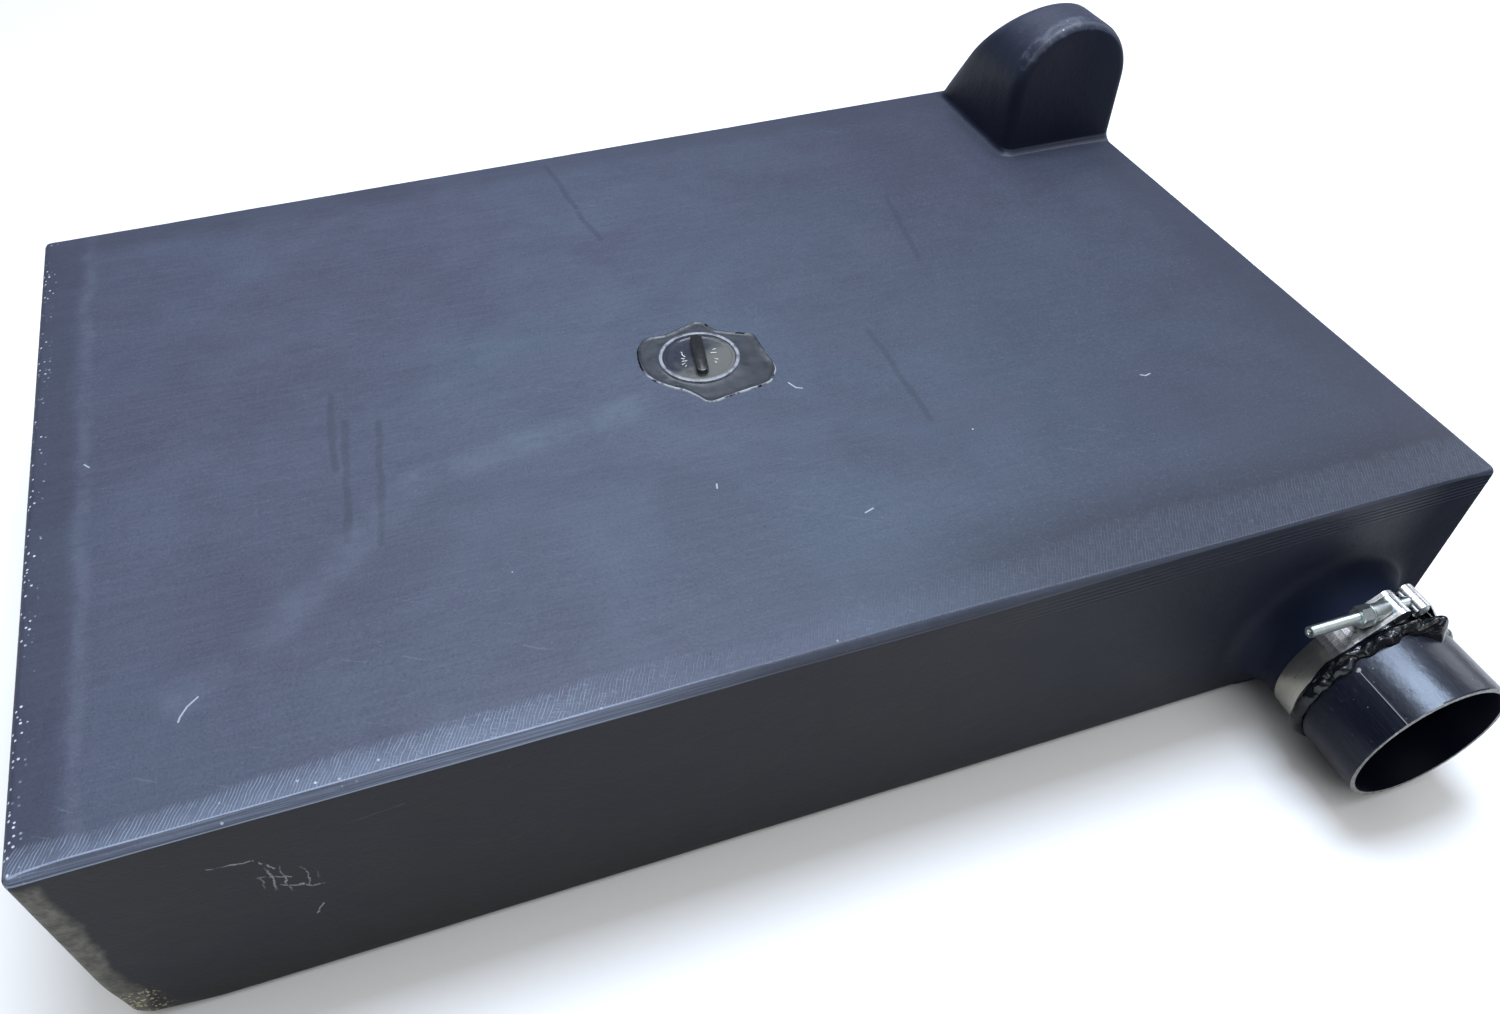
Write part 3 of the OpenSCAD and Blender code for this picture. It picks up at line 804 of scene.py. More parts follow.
def rubber_look():
    """Black seal rubber with a faint bloom."""
    look = Look("seal_rubber", Specular_IOR_Level=0.4)
    tone = look.noise(220.0, 3.0)
    look.base(tone.ramp(0.3, 0.7), (0.012, 0.012, 0.013), (0.026, 0.026, 0.027))
    look.set("Roughness", tone.ramp(0.3, 0.7, 0.5, 0.7))
    look.bump(look.noise(900.0, 3.0), 0.00005)
    return look.material


def foam_look():
    """Open-celled yellow filter foam."""
    look = Look("filter_foam", Specular_IOR_Level=0.3)
    pores = look.cells(900.0)["Distance"].ramp(0.2, 0.6)
    look.base(pores, (0.20, 0.15, 0.07), (0.60, 0.48, 0.27))
    look.set("Roughness", pores.ramp(0.0, 1.0, 0.95, 0.8))
    look.bump(pores, 0.0006)
    return look.material


tank_plastic = TankLook().material
weld_plastic = patch_look()
plug_plastic = plug_look()
rim_plastic = collar_look()
pipe_plastic = pipe_look()
sealant = sealant_look()
fitting_plastic = fitting_look()
seal_rubber = rubber_look()
filter_foam = foam_look()
ALL_WAYS = (500.0, 500.0, 500.0)
band_steel = steel_look("rolled_band", (0.44, 0.43, 0.39), (0.40, 0.385, 0.34), 0.27, 0.31,
                        (60.0, 700.0, 60.0))
strap_steel = steel_look("folded_strap", (0.46, 0.46, 0.47), (0.26, 0.24, 0.23), 0.20, 0.30,
                         (60.0, 900.0, 60.0), 0.3 * MM)
zinc_steel = steel_look("zinc_plate", (0.50, 0.56, 0.56), (0.36, 0.43, 0.40), 0.30, 0.38,
                        (120.0, 120.0, 120.0), 0.3 * MM)
copper = steel_look("copper_washer", (0.62, 0.30, 0.16), (0.30, 0.15, 0.09), 0.28, 0.42, ALL_WAYS)
mesh_steel = steel_look("strainer_steel", (0.16, 0.17, 0.18), (0.08, 0.08, 0.08), 0.34, 0.52, ALL_WAYS)


# ---------------------------------------------------------------- tank shell

ARC_STEPS = (0, 9, 18, 27, 36, 45)
GRID_STEP = 8 * MM


def side_places(half):
    """Grid places along one side of the slab, close together where the edges are rounded."""
    flat_half = half - EDGE_R
    rounds = [flat_half + EDGE_R * math.tan(math.radians(a)) for a in ARC_STEPS]
    flat = np.linspace(-flat_half, flat_half, max(2, round(2 * flat_half / GRID_STEP)) + 1)
    return np.concatenate([-np.array(rounds[:0:-1]), flat, np.array(rounds[1:])])


def planed_edge(points):
    """Cuts a slim facet along the top's front edge, broad on the left and nearly gone on the right."""
    low, back = TANK_H - points[:, 2], points[:, 1] + HALF_W
    inside = (low < EDGE_R) & (back < EDGE_R) & (low >= -1e-9) & (back >= -1e-9)
    turn = np.degrees(np.arctan2(EDGE_R - low, EDGE_R - back)) / 90
    x = points[:, 0]
    leg = (4.6 - 2.9 * fade(x, 0.06, 0.27)) * MM
    leg = leg + np.array([0.35 * MM * rough((v, 0, 0), 14, 3) for v in x])
    knots = np.linspace(0, 1, 11)
    for i in np.nonzero(inside)[0]:
        c = leg[i]
        line = np.array([[0, EDGE_R], [0, (EDGE_R + c) / 2], [0, c]]
                        + [[c * s, c * (1 - s)] for s in (1 / 6, 2 / 6, 3 / 6, 4 / 6, 5 / 6)]
                        + [[c, 0], [(EDGE_R + c) / 2, 0], [EDGE_R, 0]])
        eased = line.copy()
        eased[1:-1] = 0.2 * line[:-2] + 0.6 * line[1:-1] + 0.2 * line[2:]
        target = [np.interp(turn[i], knots, eased[:, k]) for k in (0, 1)]
        share = float(fade(abs(x[i]), HALF_L - EDGE_R, HALF_L - 3 * EDGE_R))
        points[i, 1] += share * (target[0] - back[i])
        points[i, 2] -= share * (target[1] - low[i])
    return points


def edge_droop(x, y):
    """How far the top has sunk towards its left, right and back edges."""
    left = fade(x, -HALF_L + 0.034, -HALF_L)
    right = fade(x, HALF_L - 0.05, HALF_L)
    back = fade(y, HALF_W - 0.045, HALF_W)
    return 1.3 * MM * np.maximum.reduce([left, right, back])


def moulded_skin(points):
    """The slow unevenness of a rotationally moulded wall."""
    x, y, z = points.T
    top = fade(z, TANK_H - 1.5 * EDGE_R, TANK_H)
    front = fade(y, -HALF_W + 1.5 * EDGE_R, -HALF_W)
    middle = 1 - (x / HALF_L) ** 2
    near_neck = fade(np.hypot(x - pipe_centre.x, z - pipe_centre.z), 0.075, 0.15)
    crown = 2.2 * MM * middle * fade(y, -0.05, -HALF_W)
    bulge = 2.2 * MM * middle * near_neck * np.sin(np.pi * np.clip(z / TANK_H, 0, 1)) ** 0.7
    waves = np.array([rough(p, 7, 11, 4) for p in points])
    quiet = fade(np.hypot(x - plug_centre.x, y - plug_centre.y), 0.06, 0.12)
    points[:, 2] += top * (crown - edge_droop(x, y) + 0.5 * MM * waves * quiet)
    points[:, 1] -= front * (bulge + 0.4 * MM * waves * near_neck)
    sides = fade(np.abs(x), HALF_L - 1.5 * EDGE_R, HALF_L)
    points[:, 0] -= np.sign(x) * sides * 0.5 * MM * (0.5 + 0.5 * np.clip(waves, -1, 1))
    back = fade(y, HALF_W - 1.5 * EDGE_R, HALF_W)
    points[:, 1] -= back * 0.5 * MM * (0.5 + 0.5 * np.clip(waves, -1, 1))
    return points


def slab_mesh(name):
    """The rounded slab as six joined grids."""
    half = (HALF_L, HALF_W, TANK_H / 2)
    places = [side_places(h) for h in half]
    points, faces = [], []
    for axis in range(3):
        u, v = (axis + 1) % 3, (axis + 2) % 3
        for sign in (-1, 1):
            start = len(points)
            for a in places[u]:
                for b in places[v]:
                    p = [0, 0, 0]
                    p[axis], p[u], p[v] = sign * half[axis], a, b
                    points.append(p)
            rows, columns = len(places[u]), len(places[v])
            for i in range(rows - 1):
                for k in range(columns - 1):
                    a = start + i * columns + k
                    quad = (a, a + columns, a + columns + 1, a + 1)
                    faces.append(quad if sign > 0 else quad[::-1])
    points = np.array(points)
    worn_corner = np.array((-HALF_L, -HALF_W, -TANK_H / 2))
    to_corner = np.linalg.norm(points - worn_corner, axis=1)[:, None]
    radius = EDGE_R + 9 * MM * fade(to_corner, 0.060, 0.004)
    core = np.clip(points, radius - np.array(half), np.array(half) - radius)
    away = points - core
    points = core + radius * away / np.linalg.norm(away, axis=1)[:, None]
    points[:, 2] += TANK_H / 2
    points = moulded_skin(planed_edge(points))
    return merge_close(make_piece(name, points, faces), 1e-5)


def hump_mesh(name, inset, low, round_r, fillet):
    """The arched hump as level rings, with rounded front and back edges and a flared foot."""
    radius = HUMP_R - inset
    flares = [(low, fillet)]
    if fillet:
        for a in range(0, 91, 15):
            rise = 1 - math.cos(math.radians(a))
            flares.append((TANK_H - 0.4 * MM + fillet * rise, fillet * (1 - math.sin(math.radians(a)))))
    foot = flares[-1][0]
    levels = flares + [(h, 0) for h in np.linspace(foot, HUMP_AXIS_Z, 14)[1:]]
    levels += [(HUMP_AXIS_Z + radius * math.sin(math.radians(a)), 0) for a in np.linspace(0, 90, 31)[1:]]
    across = np.concatenate([np.linspace(-1, -0.8, 9), np.linspace(-0.8, 0.8, 17)[1:-1],
                             np.linspace(0.8, 1, 9)])
    lengthwise = np.linspace(0, 1, 14)[1:-1]

    def rim(depth):
        return round_r - math.sqrt(max(0.0, round_r ** 2 - max(0.0, round_r - depth) ** 2))

    points = []
    for z, flare in levels:
        half = radius * math.sqrt(max(0.0, 1 - max(0.0, (z - HUMP_AXIS_Z) / radius) ** 2))
        ring = []

        def ends(x):
            reach = math.hypot(x, max(0.0, z - HUMP_AXIS_Z))
            cut = rim(radius - reach)
            slope = HUMP_BACK - (z - TANK_H) * math.tan(HUMP_SLOPE) - inset / math.cos(HUMP_SLOPE)
            return HUMP_FRONT + inset + cut - flare, slope - cut / math.cos(HUMP_SLOPE) + flare

        for t in across:
            ring.append((t * (half + flare), ends(t * half)[0]))
        first, last = ends(half)
        ring += [(half + flare, first + (last - first) * s) for s in lengthwise]
        for t in across[::-1]:
            ring.append((t * (half + flare), ends(t * half)[1]))
        ring += [(-half - flare, last + (first - last) * s) for s in lengthwise]
        # the foot sinks with the tank's drooping, rounded edges
        for x, y in ring:
            right = min(HUMP_X + x, HALF_L - 0.4 * MM)
            back = min(y, HALF_W - 0.4 * MM)
            past = math.hypot(max(0.0, right - HALF_L + EDGE_R), max(0.0, back - HALF_W + EDGE_R))
            sunk = edge_droop(right, back) + EDGE_R - math.sqrt(max(0.0, EDGE_R ** 2 - past ** 2))
            points.append((right, back, z - sunk * float(fade(z, TANK_H + 20 * MM, TANK_H))))
    columns = len(points) // len(levels)
    faces = ring_faces(len(levels), columns, False)
    faces.append(tuple(range(columns))[::-1])
    return merge_close(make_piece(name, points, faces), 2e-5)


def neck_mesh(name):
    """The outlet's neck with its flared root, whose underside narrows to stay above the floor."""
    profile = [(1.0, -5 * MM)]
    for a in range(0, 91, 6):
        profile.append((1 - math.sin(math.radians(a)), FLARE_R * (1 - math.cos(math.radians(a)))))
    profile += [(0.0, FLARE_R + (NECK_L - FLARE_R) * s) for s in (0.25, 0.5, 0.75)]
    profile += [(0.0, NECK_L - 0.6 * MM), (-0.6 * MM / FLARE_R, NECK_L)]
    segments = 144
    points = []
    for share, out in profile:
        for angle in round_angles(segments):
            room = (pipe_centre.z - 2.0 * MM) / max(1e-6, -math.sin(angle)) - NECK_R
            blend = max(0.0, 1 - abs(FLARE_R - room) / (8 * MM))
            spread = FLARE_R if share < 0 else min(FLARE_R, room) - 2 * MM * blend * blend
            points.append(turned(NECK_R + share * spread, angle, out))
    return make_piece(name, points, capped_faces(len(profile), segments), outlet_place)


def cavity_mesh():
    """The slab's hollow inside, as a box."""
    low = Vector((-HALF_L + WALL, -HALF_W + WALL, WALL))
    high = Vector((HALF_L - WALL, HALF_W - WALL, TANK_H - WALL))
    corners = [(x, y, z) for x in (low.x, high.x) for y in (low.y, high.y) for z in (low.z, high.z)]
    faces = [(0, 1, 3, 2), (4, 6, 7, 5), (0, 4, 5, 1), (2, 3, 7, 6), (0, 2, 6, 4), (1, 5, 7, 3)]
    return make_piece("cavity", corners, faces)


def build_tank():
    """One moulding: slab, hump and neck, hollow inside, with a hole for each fitting."""
    shell = slab_mesh("tank_shell_moulding")
    hump = hump_mesh("hump", inset=0.0, low=TANK_H - 8 * MM, round_r=8.5 * MM, fillet=6.5 * MM)
    hump_inside = hump_mesh("hump_inside", inset=WALL, low=TANK_H - WALL - 2 * MM, round_r=3 * MM, fillet=0.0)
    combine(shell, hump, "UNION")
    combine(shell, neck_mesh("neck"), "UNION")
    combine(shell, cavity_mesh())
    combine(shell, hump_inside)
    combine(shell, cutter(NECK_BORE, -WALL - 3 * MM, NECK_L + 3 * MM, outlet_place))
    combine(shell, cutter(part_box("plug_collar")[1].x - 0.1 * MM, -12 * MM, 8 * MM, plug_place))
    for fitting in (breather_place, drain_place):
        combine(shell, cutter(14 * MM, -12 * MM, 8 * MM, fitting))
    settle(shell, "root", tank_plastic, "tank_shell", 38)


# ---------------------------------------------------------------- top plug, its collar and the patch


def build_patch():
    """The patch follows its CAD outline, with a raised, rolled edge and an uneven top."""
    outline = {}
    for vertex in nodes["weld_patch"].data.vertices:
        offset = vertex.co - plug_centre
        reach = math.hypot(offset.x, offset.y)
        key = round(math.degrees(math.atan2(offset.y, offset.x)), 1)
        outline[key] = max(outline.get(key, 0.0), reach)
    collar_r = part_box("plug_collar")[1].x - plug_centre.x
    known = sorted((a, r) for a, r in outline.items() if r > collar_r + 4 * MM)
    angles, reaches = np.array(known).T
    steps = 240
    clocks = [-180 + 360 * k / steps for k in range(steps)]
    # inset from the outline and height, in mm, up over the rolled edge
    rows = ((0.0, -0.6), (0.0, 0.15), (0.45, 0.85), (1.0, 1.25), (1.7, 1.25), (2.6, 0.8), (3.6, 0.62))
    points = []
    for offset, lift in rows:
        for clock in clocks:
            reach = float(np.interp(clock, angles, reaches, period=360))
            a = math.radians(clock)
            lump = 0.22 * rough((math.cos(a), math.sin(a), offset), 2.6, 5) if lift > 0 else 0
            r = reach - offset * MM + 0.5 * MM * rough((math.cos(a), math.sin(a), 0), 9, 2)
            points.append(turned(r, a, (lift * (1 + lump)) * MM))
    inner_rows = 7
    for i in range(1, inner_rows + 1):
        share = i / inner_rows
        for clock in clocks:
            a = math.radians(clock)
            reach = float(np.interp(math.degrees(a), angles, reaches, period=360)) - 3.6 * MM
            r = reach + (collar_r - 0.3 * MM - reach) * share
            ripple = 0.16 * rough((r * math.cos(a), r * math.sin(a), 0), 90, 8)
            lift = 0.62 + ripple + 0.5 * float(fade(share, 0.75, 1))
            points.append(turned(r, a, lift * MM))
    points += [turned(collar_r - 0.3 * MM, math.radians(clock), -0.6 * MM) for clock in clocks]
    faces = ring_faces(len(rows) + inner_rows + 1, steps, True)
    patch = merge_close(make_piece("weld_patch_skin", points, faces, plug_place))
    settle(patch, "root", weld_plastic, "weld_patch", 60)


def build_collar():
    """The fitting that the plug screws into, with softened edges."""
    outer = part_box("plug_collar")[1].x - plug_centre.x
    foot = -22 * MM
    bore, seat, floor = 23.95 * MM, 26.8 * MM, -2 * MM
    outline = [(outer, foot), (outer, COLLAR_RIM), (seat, COLLAR_RIM)]
    outline += [(seat, floor), (bore, floor), (bore, foot)]
    collar = merge_close(lathe("plug_collar_rim", softened(outline, 0.7 * MM), plug_place, 144))
    settle(collar, "root", rim_plastic, "plug_collar", 50)


def raised_bar(name, length, width, height, top_round, place, segments=20):
    """A bar with round ends whose top edge is softened."""
    outline = []
    for end in (1, -1):
        for k in range(segments + 1):
            a = math.radians(90 - 90 * end + 180 * k / segments)
            outline.append((math.cos(a), math.sin(a), end * (length - width) / 2))
    rows = [(0.0, -0.6 * MM), (0.0, height - top_round)]
    for t in (22, 45, 68, 90):
        inset = top_round * (1 - math.cos(math.radians(t)))
        rows.append((inset, height - top_round * (1 - math.sin(math.radians(t)))))
    points = [((width / 2 - i) * c, (width / 2 - i) * s + m, h) for i, h in rows for c, s, m in outline]
    return make_piece(name, points, capped_faces(len(rows), len(outline)), place)


def build_plug():
    """Screw plug: dished disc, raised grip bar, small moulding marks and a threaded stem."""
    flange_r, low, top = 26.4 * MM, 0.2 * MM, 1.8 * MM
    disc = softened([(flange_r, low), (flange_r, top), (24.2 * MM, top), (23.6 * MM, top - 0.5 * MM),
                     (12 * MM, top - 0.55 * MM), (0.5 * MM, top - 0.5 * MM), (0.5 * MM, low)], 0.35 * MM, 3)
    profile = [(23 * MM, low)] + [tuple(point) for point in disc[1:-5]]
    plug = solid_rod("top_plug_disc", profile, plug_place, 144)
    turn = Matrix.Rotation(math.radians(-11), 4, "Z")
    grip = plug_place @ turn @ Matrix.Translation((0, 0, top - 0.5 * MM))
    bar = raised_bar("grip", length=44 * MM, width=9 * MM, height=5.1 * MM, top_round=1.2 * MM, place=grip)
    combine(plug, bar, "UNION")
    for side, places in ((-1, (-9, -6, -3, 0, 3, 6)), (1, (-7, -3.5, 4, 8))):
        for i, along in enumerate(places):
            spot = facing_place((side * (11 + i % 2) * MM, along * MM, 0), side * (0.5 + 0.5 * i), "Z")
            length = (2.8 + 0.8 * (i % 3)) * MM
            mark = raised_bar("mark", length, width=0.9 * MM, height=0.35 * MM, top_round=0.1 * MM,
                              place=grip @ spot, segments=6)
            combine(plug, mark, "UNION")
    stem = threaded_rod("stem", radius=23.9 * MM, pitch=2.309 * MM, depth=1.3 * MM, low=-14 * MM,
                        high=0.9 * MM, place=plug_place, cuff=1.5 * MM, segments=120)
    combine(plug, stem, "UNION")
    combine(plug, cutter(20 * MM, -20 * MM, -1 * MM, plug_place))
    settle(plug, "plug", plug_plastic, "top_plug", 35)


# ---------------------------------------------------------------- outlet pipe, sealant and band clamp


def build_pipe():
    """The pipe, with a reduced tail inside the neck and a sawn mouth."""
    tail_r, seat_r, bore_r = 48.9 * MM, PIPE_R - 0.7 * MM, PIPE_R - PIPE_WALL
    shoulder, seat_end, tail = 57 * MM, 66 * MM, -17 * MM
    step = shoulder + PIPE_WALL
    outline = [(tail_r, tail), (tail_r, shoulder), (seat_r, shoulder), (seat_r, seat_end), (PIPE_R, seat_end)]
    outline += [(PIPE_R, seat_end + (PIPE_OUT - seat_end) * s) for s in (0.2, 0.4, 0.6, 0.8, 0.97)]
    outline += [(PIPE_R, PIPE_OUT - 0.35 * MM), (PIPE_R - 0.35 * MM, PIPE_OUT)]
    outline += [(bore_r + 0.3 * MM, PIPE_OUT), (bore_r, PIPE_OUT - 0.4 * MM)]
    outline += [(bore_r, step), (tail_r - PIPE_WALL, step), (tail_r - PIPE_WALL, tail)]

    def warp(point, angle):
        """A low seam ridge and the slight flats of a hand-cut pipe."""
        if point.z > seat_end and math.hypot(point.x, point.y) > PIPE_R - 0.1 * MM:
            off = (angle - PIPE_SEAM) * PIPE_R
            ridge = 0.18 * MM * math.exp(-(off / (0.5 * MM)) ** 2)
            point.xy *= 1 + (ridge - 0.12 * MM * (0.5 + 0.5 * math.sin(5 * angle))) / PIPE_R
        return point

    pipe = merge_close(lathe("outlet_pipe_tube", outline, outlet_place, 720, warp))
    settle(pipe, "root", pipe_plastic, "outlet_pipe", 40)


def clock_sine(clock, waves, start=0):
    """A sine with a number of waves round the pipe; both angles are in degrees."""
    return math.sin(math.radians(clock * waves + start))


def clock_hill(clock, middle, width):
    """1 at the middle angle, fading to 0 on both sides; all in degrees."""
    return math.exp(-((clock - middle) / width) ** 2)


def clock_gap(clock, middle):
    """The angle from the middle, from -180 to 180 degrees."""
    return (clock - middle + 180) % 360 - 180


def bead_edges(clock):
    """The sealant's start and end in mm in front of the wall, and how busy its folds are."""
    busy = float(fade(abs(clock_gap(clock, 108)), 75, 45))
    back = 54.6 - 3.6 * clock_hill(clock, 146, 9) + busy * clock_sine(clock, 13)
    wander = 1.6 * clock_sine(clock, 5, 40) + 1.1 * clock_sine(clock, 11, 10)
    wander += 1.2 * clock_sine(clock, 21, 60)
    front = 64.6 + busy * wander + 2.4 * clock_hill(clock, 118, 9) - 1.5 * clock_hill(clock, 90, 10)
    return back, front + 7.0 * clock_hill(clock, 74, 9), busy


# clock in degrees, out in mm, half-width in degrees, half-length in mm, height in mm
BEAD_LUMPS = (
    (75, 64.5, 7.5, 6.0, 10.5),
    (88, 62.0, 5.0, 4.5, 2.4),
    (197, 60.0, 24.0, 5.0, 2.0),
    (113, 61.5, 5.0, 5.0, 6.0),
    (101, 60.0, 6.0, 3.5, 2.4),
    (88, 59.5, 6.0, 3.5, 2.6),
    (128, 58.0, 8.0, 3.5, 1.6),
    (143, 56.0, 9.0, 3.5, 1.2),
)


def build_sealant():
    """Sealant squeezed out round the joint: smooth below, folded and lumpy above."""
    steps, rows = 540, 30
    clocks = [360 * k / steps for k in range(steps)]
    points = []
    for i in range(rows):
        share = i / (rows - 1)
        for clock in clocks:
            back, front, busy = bead_edges(clock)
            out = back + (front - back) * share
            a = math.radians(clock)
            at = (math.cos(a) * 0.05, math.sin(a) * 0.05, out * MM)
            dome = (4 * share * (1 - share)) ** 0.55
            fold = 5.2 * abs(rough(at, 80, 4, 2)) + 1.2 * abs(rough(at, 190, 9, 1))
            thick = dome * (3.2 + busy * (fold - 1.2) + 0.35 * rough(at, 60, 7))
            for mid, mid_out, wide, long, tall in BEAD_LUMPS:
                off = clock_gap(clock, mid) / wide
                far = (out - mid_out) / long
                thick += tall * math.exp(-((off * off + far * far) ** 1.3)) * min(1.0, dome * 1.2)
            radius = (54.65 + thick) * MM
            points.append(turned(radius, a, (out + 0.5 * busy * rough(at, 90, 13)) * MM))
    under = ((1.0, 54.35), (0.75, 54.35), (0.5, 53.2), (0.0, 53.2))
    for share, inner in under:
        for clock in clocks:
            back, front, busy = bead_edges(clock)
            points.append(turned(inner * MM, math.radians(clock), (back + (front - back) * share) * MM))
    faces = ring_faces(rows + len(under), steps, True)
    bead = merge_close(make_piece("sealant_squeeze", points, faces, outlet_place))
    settle(bead, "root", sealant, "sealant_bead", 80)


def build_band():
    """The band with rolled edges, open where the bolt pulls it together."""
    low, high = 34 * MM, 53.5 * MM
    inner, outer = NECK_R + 0.7 * MM, NECK_R + 1.5 * MM
    outline = softened([(inner, low), (outer, low), (outer, high), (inner, high)], 0.35 * MM, 3)
    start, turn, steps = math.radians(116), math.radians(304), 300
    points = []
    for k in range(steps + 1):
        a = start + turn * k / steps
        for r, h in outline:
            dip = 0.12 * MM * float(np.sin(np.pi * (h - low) / (high - low))) if r > inner + 0.4 * MM else 0
            points.append(turned(r - dip, a, h))
    faces = capped_faces(steps + 1, len(outline))
    band = merge_close(make_piece("clamp_band_strip", points, faces, outlet_place))
    settle(band, "root", band_steel, "clamp_band", 50)


def build_bolt():
    """T-bolt: threaded shank with a dimpled end and a round cross head."""
    low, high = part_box("t_bolt")
    head_r = 5.5 * MM
    head_x, tip = high.x - head_r, -low.x
    bolt = threaded_rod("t_bolt_thread", radius=4 * MM, pitch=1.25 * MM, depth=0.22 * MM, low=-head_x,
                        high=tip, place=bolt_place, segments=36)
    dimple = [(0.4 * MM, tip - 1.6 * MM), (1.7 * MM, tip - 0.5 * MM), (2.4 * MM, tip + 1 * MM)]
    combine(bolt, solid_rod("dimple", dimple, bolt_place, 36))
    half = 9.5 * MM
    head = facing_place((head_x, nut_centre.y, nut_centre.z), math.pi / 2, "X")
    rod = [(4.7 * MM, -half), (head_r, -half + 0.8 * MM), (head_r, half - 0.8 * MM), (4.7 * MM, half)]
    combine(bolt, solid_rod("head", rod, head, 48), "UNION")
    settle(bolt, "root", zinc_steel, "t_bolt", 32)


def along_bolt(node):
    """Where a CAD node on the bolt starts and ends, in the bolt's own direction."""
    low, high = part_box(node)
    return -high.x, -low.x


def build_nut():
    """Hex nut with a turned chamfer on both faces."""
    low, high = along_bolt("clamp_nut")
    corner = 13 * MM / math.cos(math.radians(30)) / 2
    nut = solid_rod("clamp_nut_hex", [(corner, low), (corner, high)], bolt_place, 6)
    face, cut = corner - 1.0 * MM, 0.55 * MM
    chamfered = [(face, low), (corner, low + cut), (corner, high - cut), (face, high)]
    combine(nut, solid_rod("chamfered", chamfered, bolt_place, 96), "INTERSECT")
    combine(nut, cutter(4.05 * MM, low - 1 * MM, high + 1 * MM, bolt_place, 48))
    settle(nut, "nut", zinc_steel, "clamp_nut", 25)


def build_sleeve(name, node, body, outer, inner, soft):
    """A plain ring on the bolt, as long as the CAD node that it stands for."""
    low, high = along_bolt(node)
    outline = softened([(outer, low), (outer, high), (inner, high), (inner, low)], soft, 3)
    sleeve = merge_close(lathe(name, outline, bolt_place, 72))
    settle(sleeve, body, zinc_steel, node, 50)


DRESSED = (
    (band_steel, ("clamp_bridge",)),
    (strap_steel, ("nut_side_loop", "bolt_side_loop")),
    (zinc_steel, ("trunnion", "drain_plug")),
    (seal_rubber, ("plug_o_ring", "breather_gasket")),
    (fitting_plastic, ("breather_insert", "breather_cap", "drain_insert")),
    (filter_foam, ("breather_filter",)),
    (copper, ("drain_washer",)),
    (mesh_steel, ("strainer_collar", "strainer_screen", "strainer_end_cap")),
)


def dress_cad_nodes():
    """Gives each CAD node that is shown as it is its detailed material."""
    for look, names in DRESSED:
        for name in names:
            mesh = nodes[name].data
            mesh.materials.clear()
            mesh.materials.append(look)


# ---------------------------------------------------------------- stage, light and camera


def build_stage():
    """A plain pale floor, just below the tank so that the two don't share a face."""
    look = Look("studio_floor", Specular_IOR_Level=0.2)
    look.base(look.noise(1.2, 2.0).ramp(0.3, 0.7), (0.80, 0.80, 0.80), (0.84, 0.84, 0.84))
    look.set("Roughness", 0.9)
    half = 14.0
    corners = [(-half, -half, 0), (half, -half, 0), (half, half, 0), (-half, half, 0)]
    floor = make_piece("studio_floor", corners, [(0, 1, 2, 3)])
    floor.location.z = -0.0005
    floor.data.materials.append(look.material)


def add_light(name, place, aim, width, height, power, colour):
    data = bpy.data.lights.new(name, "AREA")
    data.shape = "RECTANGLE"
    data.size, data.size_y = width, height
    data.energy = power
    data.color = colour
    light = bpy.data.objects.new(name, data)
    light.location = place
    light.rotation_euler = (Vector(aim) - Vector(place)).to_track_quat("-Z", "Y").to_euler()
    bpy.context.scene.collection.objects.link(light)


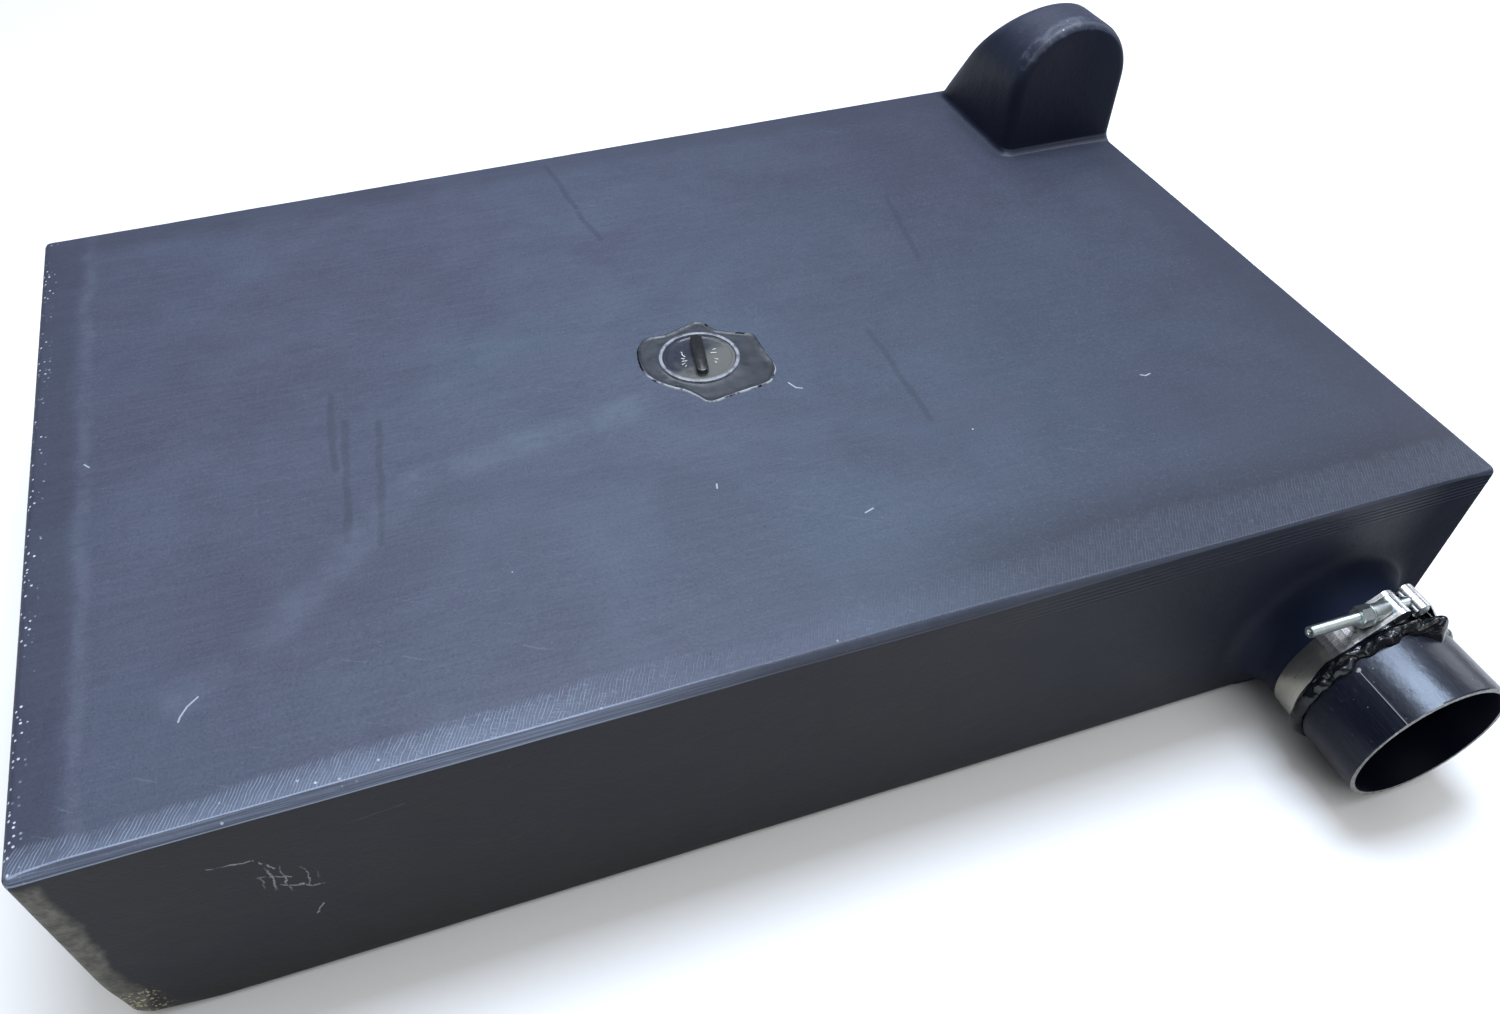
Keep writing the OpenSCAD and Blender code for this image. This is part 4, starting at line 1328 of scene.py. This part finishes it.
def build_lights():
    """A bright ceiling in a dim room: the low parts of the surroundings stay dark in the gloss."""
    add_light("softbox_back", (0.10, 1.55, 2.6), (0, 0, 0.1), 1.7, 0.9, 25, (0.88, 0.94, 1.0))
    add_light("strip_top", (0.40, 0.30, 2.2), (0.40, -0.2, 0.0), 1.2, 0.60, 48, (0.74, 0.84, 1.0))
    add_light("strip_right", (1.89, 0.25, 0.82), (0.36, -0.40, 0.10), 0.60, 0.85, 4.6, (0.90, 0.94, 1.0))
    add_light("softbox_top", (0.0, -0.3, 3.4), (0, 0, 0), 2.6, 2.6, 18, (1.0, 1.0, 1.0))
    add_light("fill_front", (0.3, -3.0, 2.2), (0.1, 0, 0.1), 2.6, 1.4, 24, (1.0, 0.98, 0.95))
    world = bpy.data.worlds.new("studio")
    world.use_nodes = True
    tree = world.node_tree
    background = tree.nodes["Background"]
    height = tree.nodes.new("ShaderNodeSeparateXYZ")
    direction = tree.nodes.new("ShaderNodeTexCoord")
    tree.links.new(direction.outputs["Generated"], height.inputs[0])
    sky = tree.nodes.new("ShaderNodeMapRange")
    sky.interpolation_type = "SMOOTHSTEP"
    low, high, dim, bright = 0.55, 0.95, 0.12, 1.10
    for socket, value in zip(sky.inputs[1:5], (low, high, dim, bright)):
        socket.default_value = value
    tree.links.new(height.outputs["Z"], sky.inputs["Value"])
    background.inputs["Color"].default_value = (0.93, 0.96, 1.0, 1.0)
    tree.links.new(sky.outputs[0], background.inputs["Strength"])
    bpy.context.scene.world = world


def build_camera():
    """Looks down on the front left of the tank from close by, as a hand-held phone does."""
    data = bpy.data.cameras.new("camera")
    data.sensor_width = 36.0
    data.lens = 27.54
    data.shift_x, data.shift_y = 0.0309, 0.0617
    data.clip_start = 0.02
    camera = bpy.data.objects.new("camera", data)
    pitch, roll, heading = (math.radians(angle) for angle in (41.218, 0.389, -18.811))
    place = Vector((-0.2135, -0.6704, 0.6925))
    camera.matrix_world = Matrix.LocRotScale(place, Euler((pitch, roll, heading)), None)
    bpy.context.scene.collection.objects.link(camera)
    bpy.context.scene.camera = camera


# ---------------------------------------------------------------- the scene

bpy.context.scene.view_settings.view_transform = "Standard"
build_camera()
build_stage()
build_lights()
build_tank()
build_patch()
build_collar()
build_plug()
build_pipe()
build_sealant()
build_band()
build_bolt()
build_nut()
build_sleeve("clamp_spacer_tube", "clamp_spacer", "root", 6.3 * MM, 4.2 * MM, 0.5 * MM)
build_sleeve("clamp_washer_ring", "clamp_washer", "nut_washer", 7.4 * MM, 4.2 * MM, 0.3 * MM)
dress_cad_nodes()
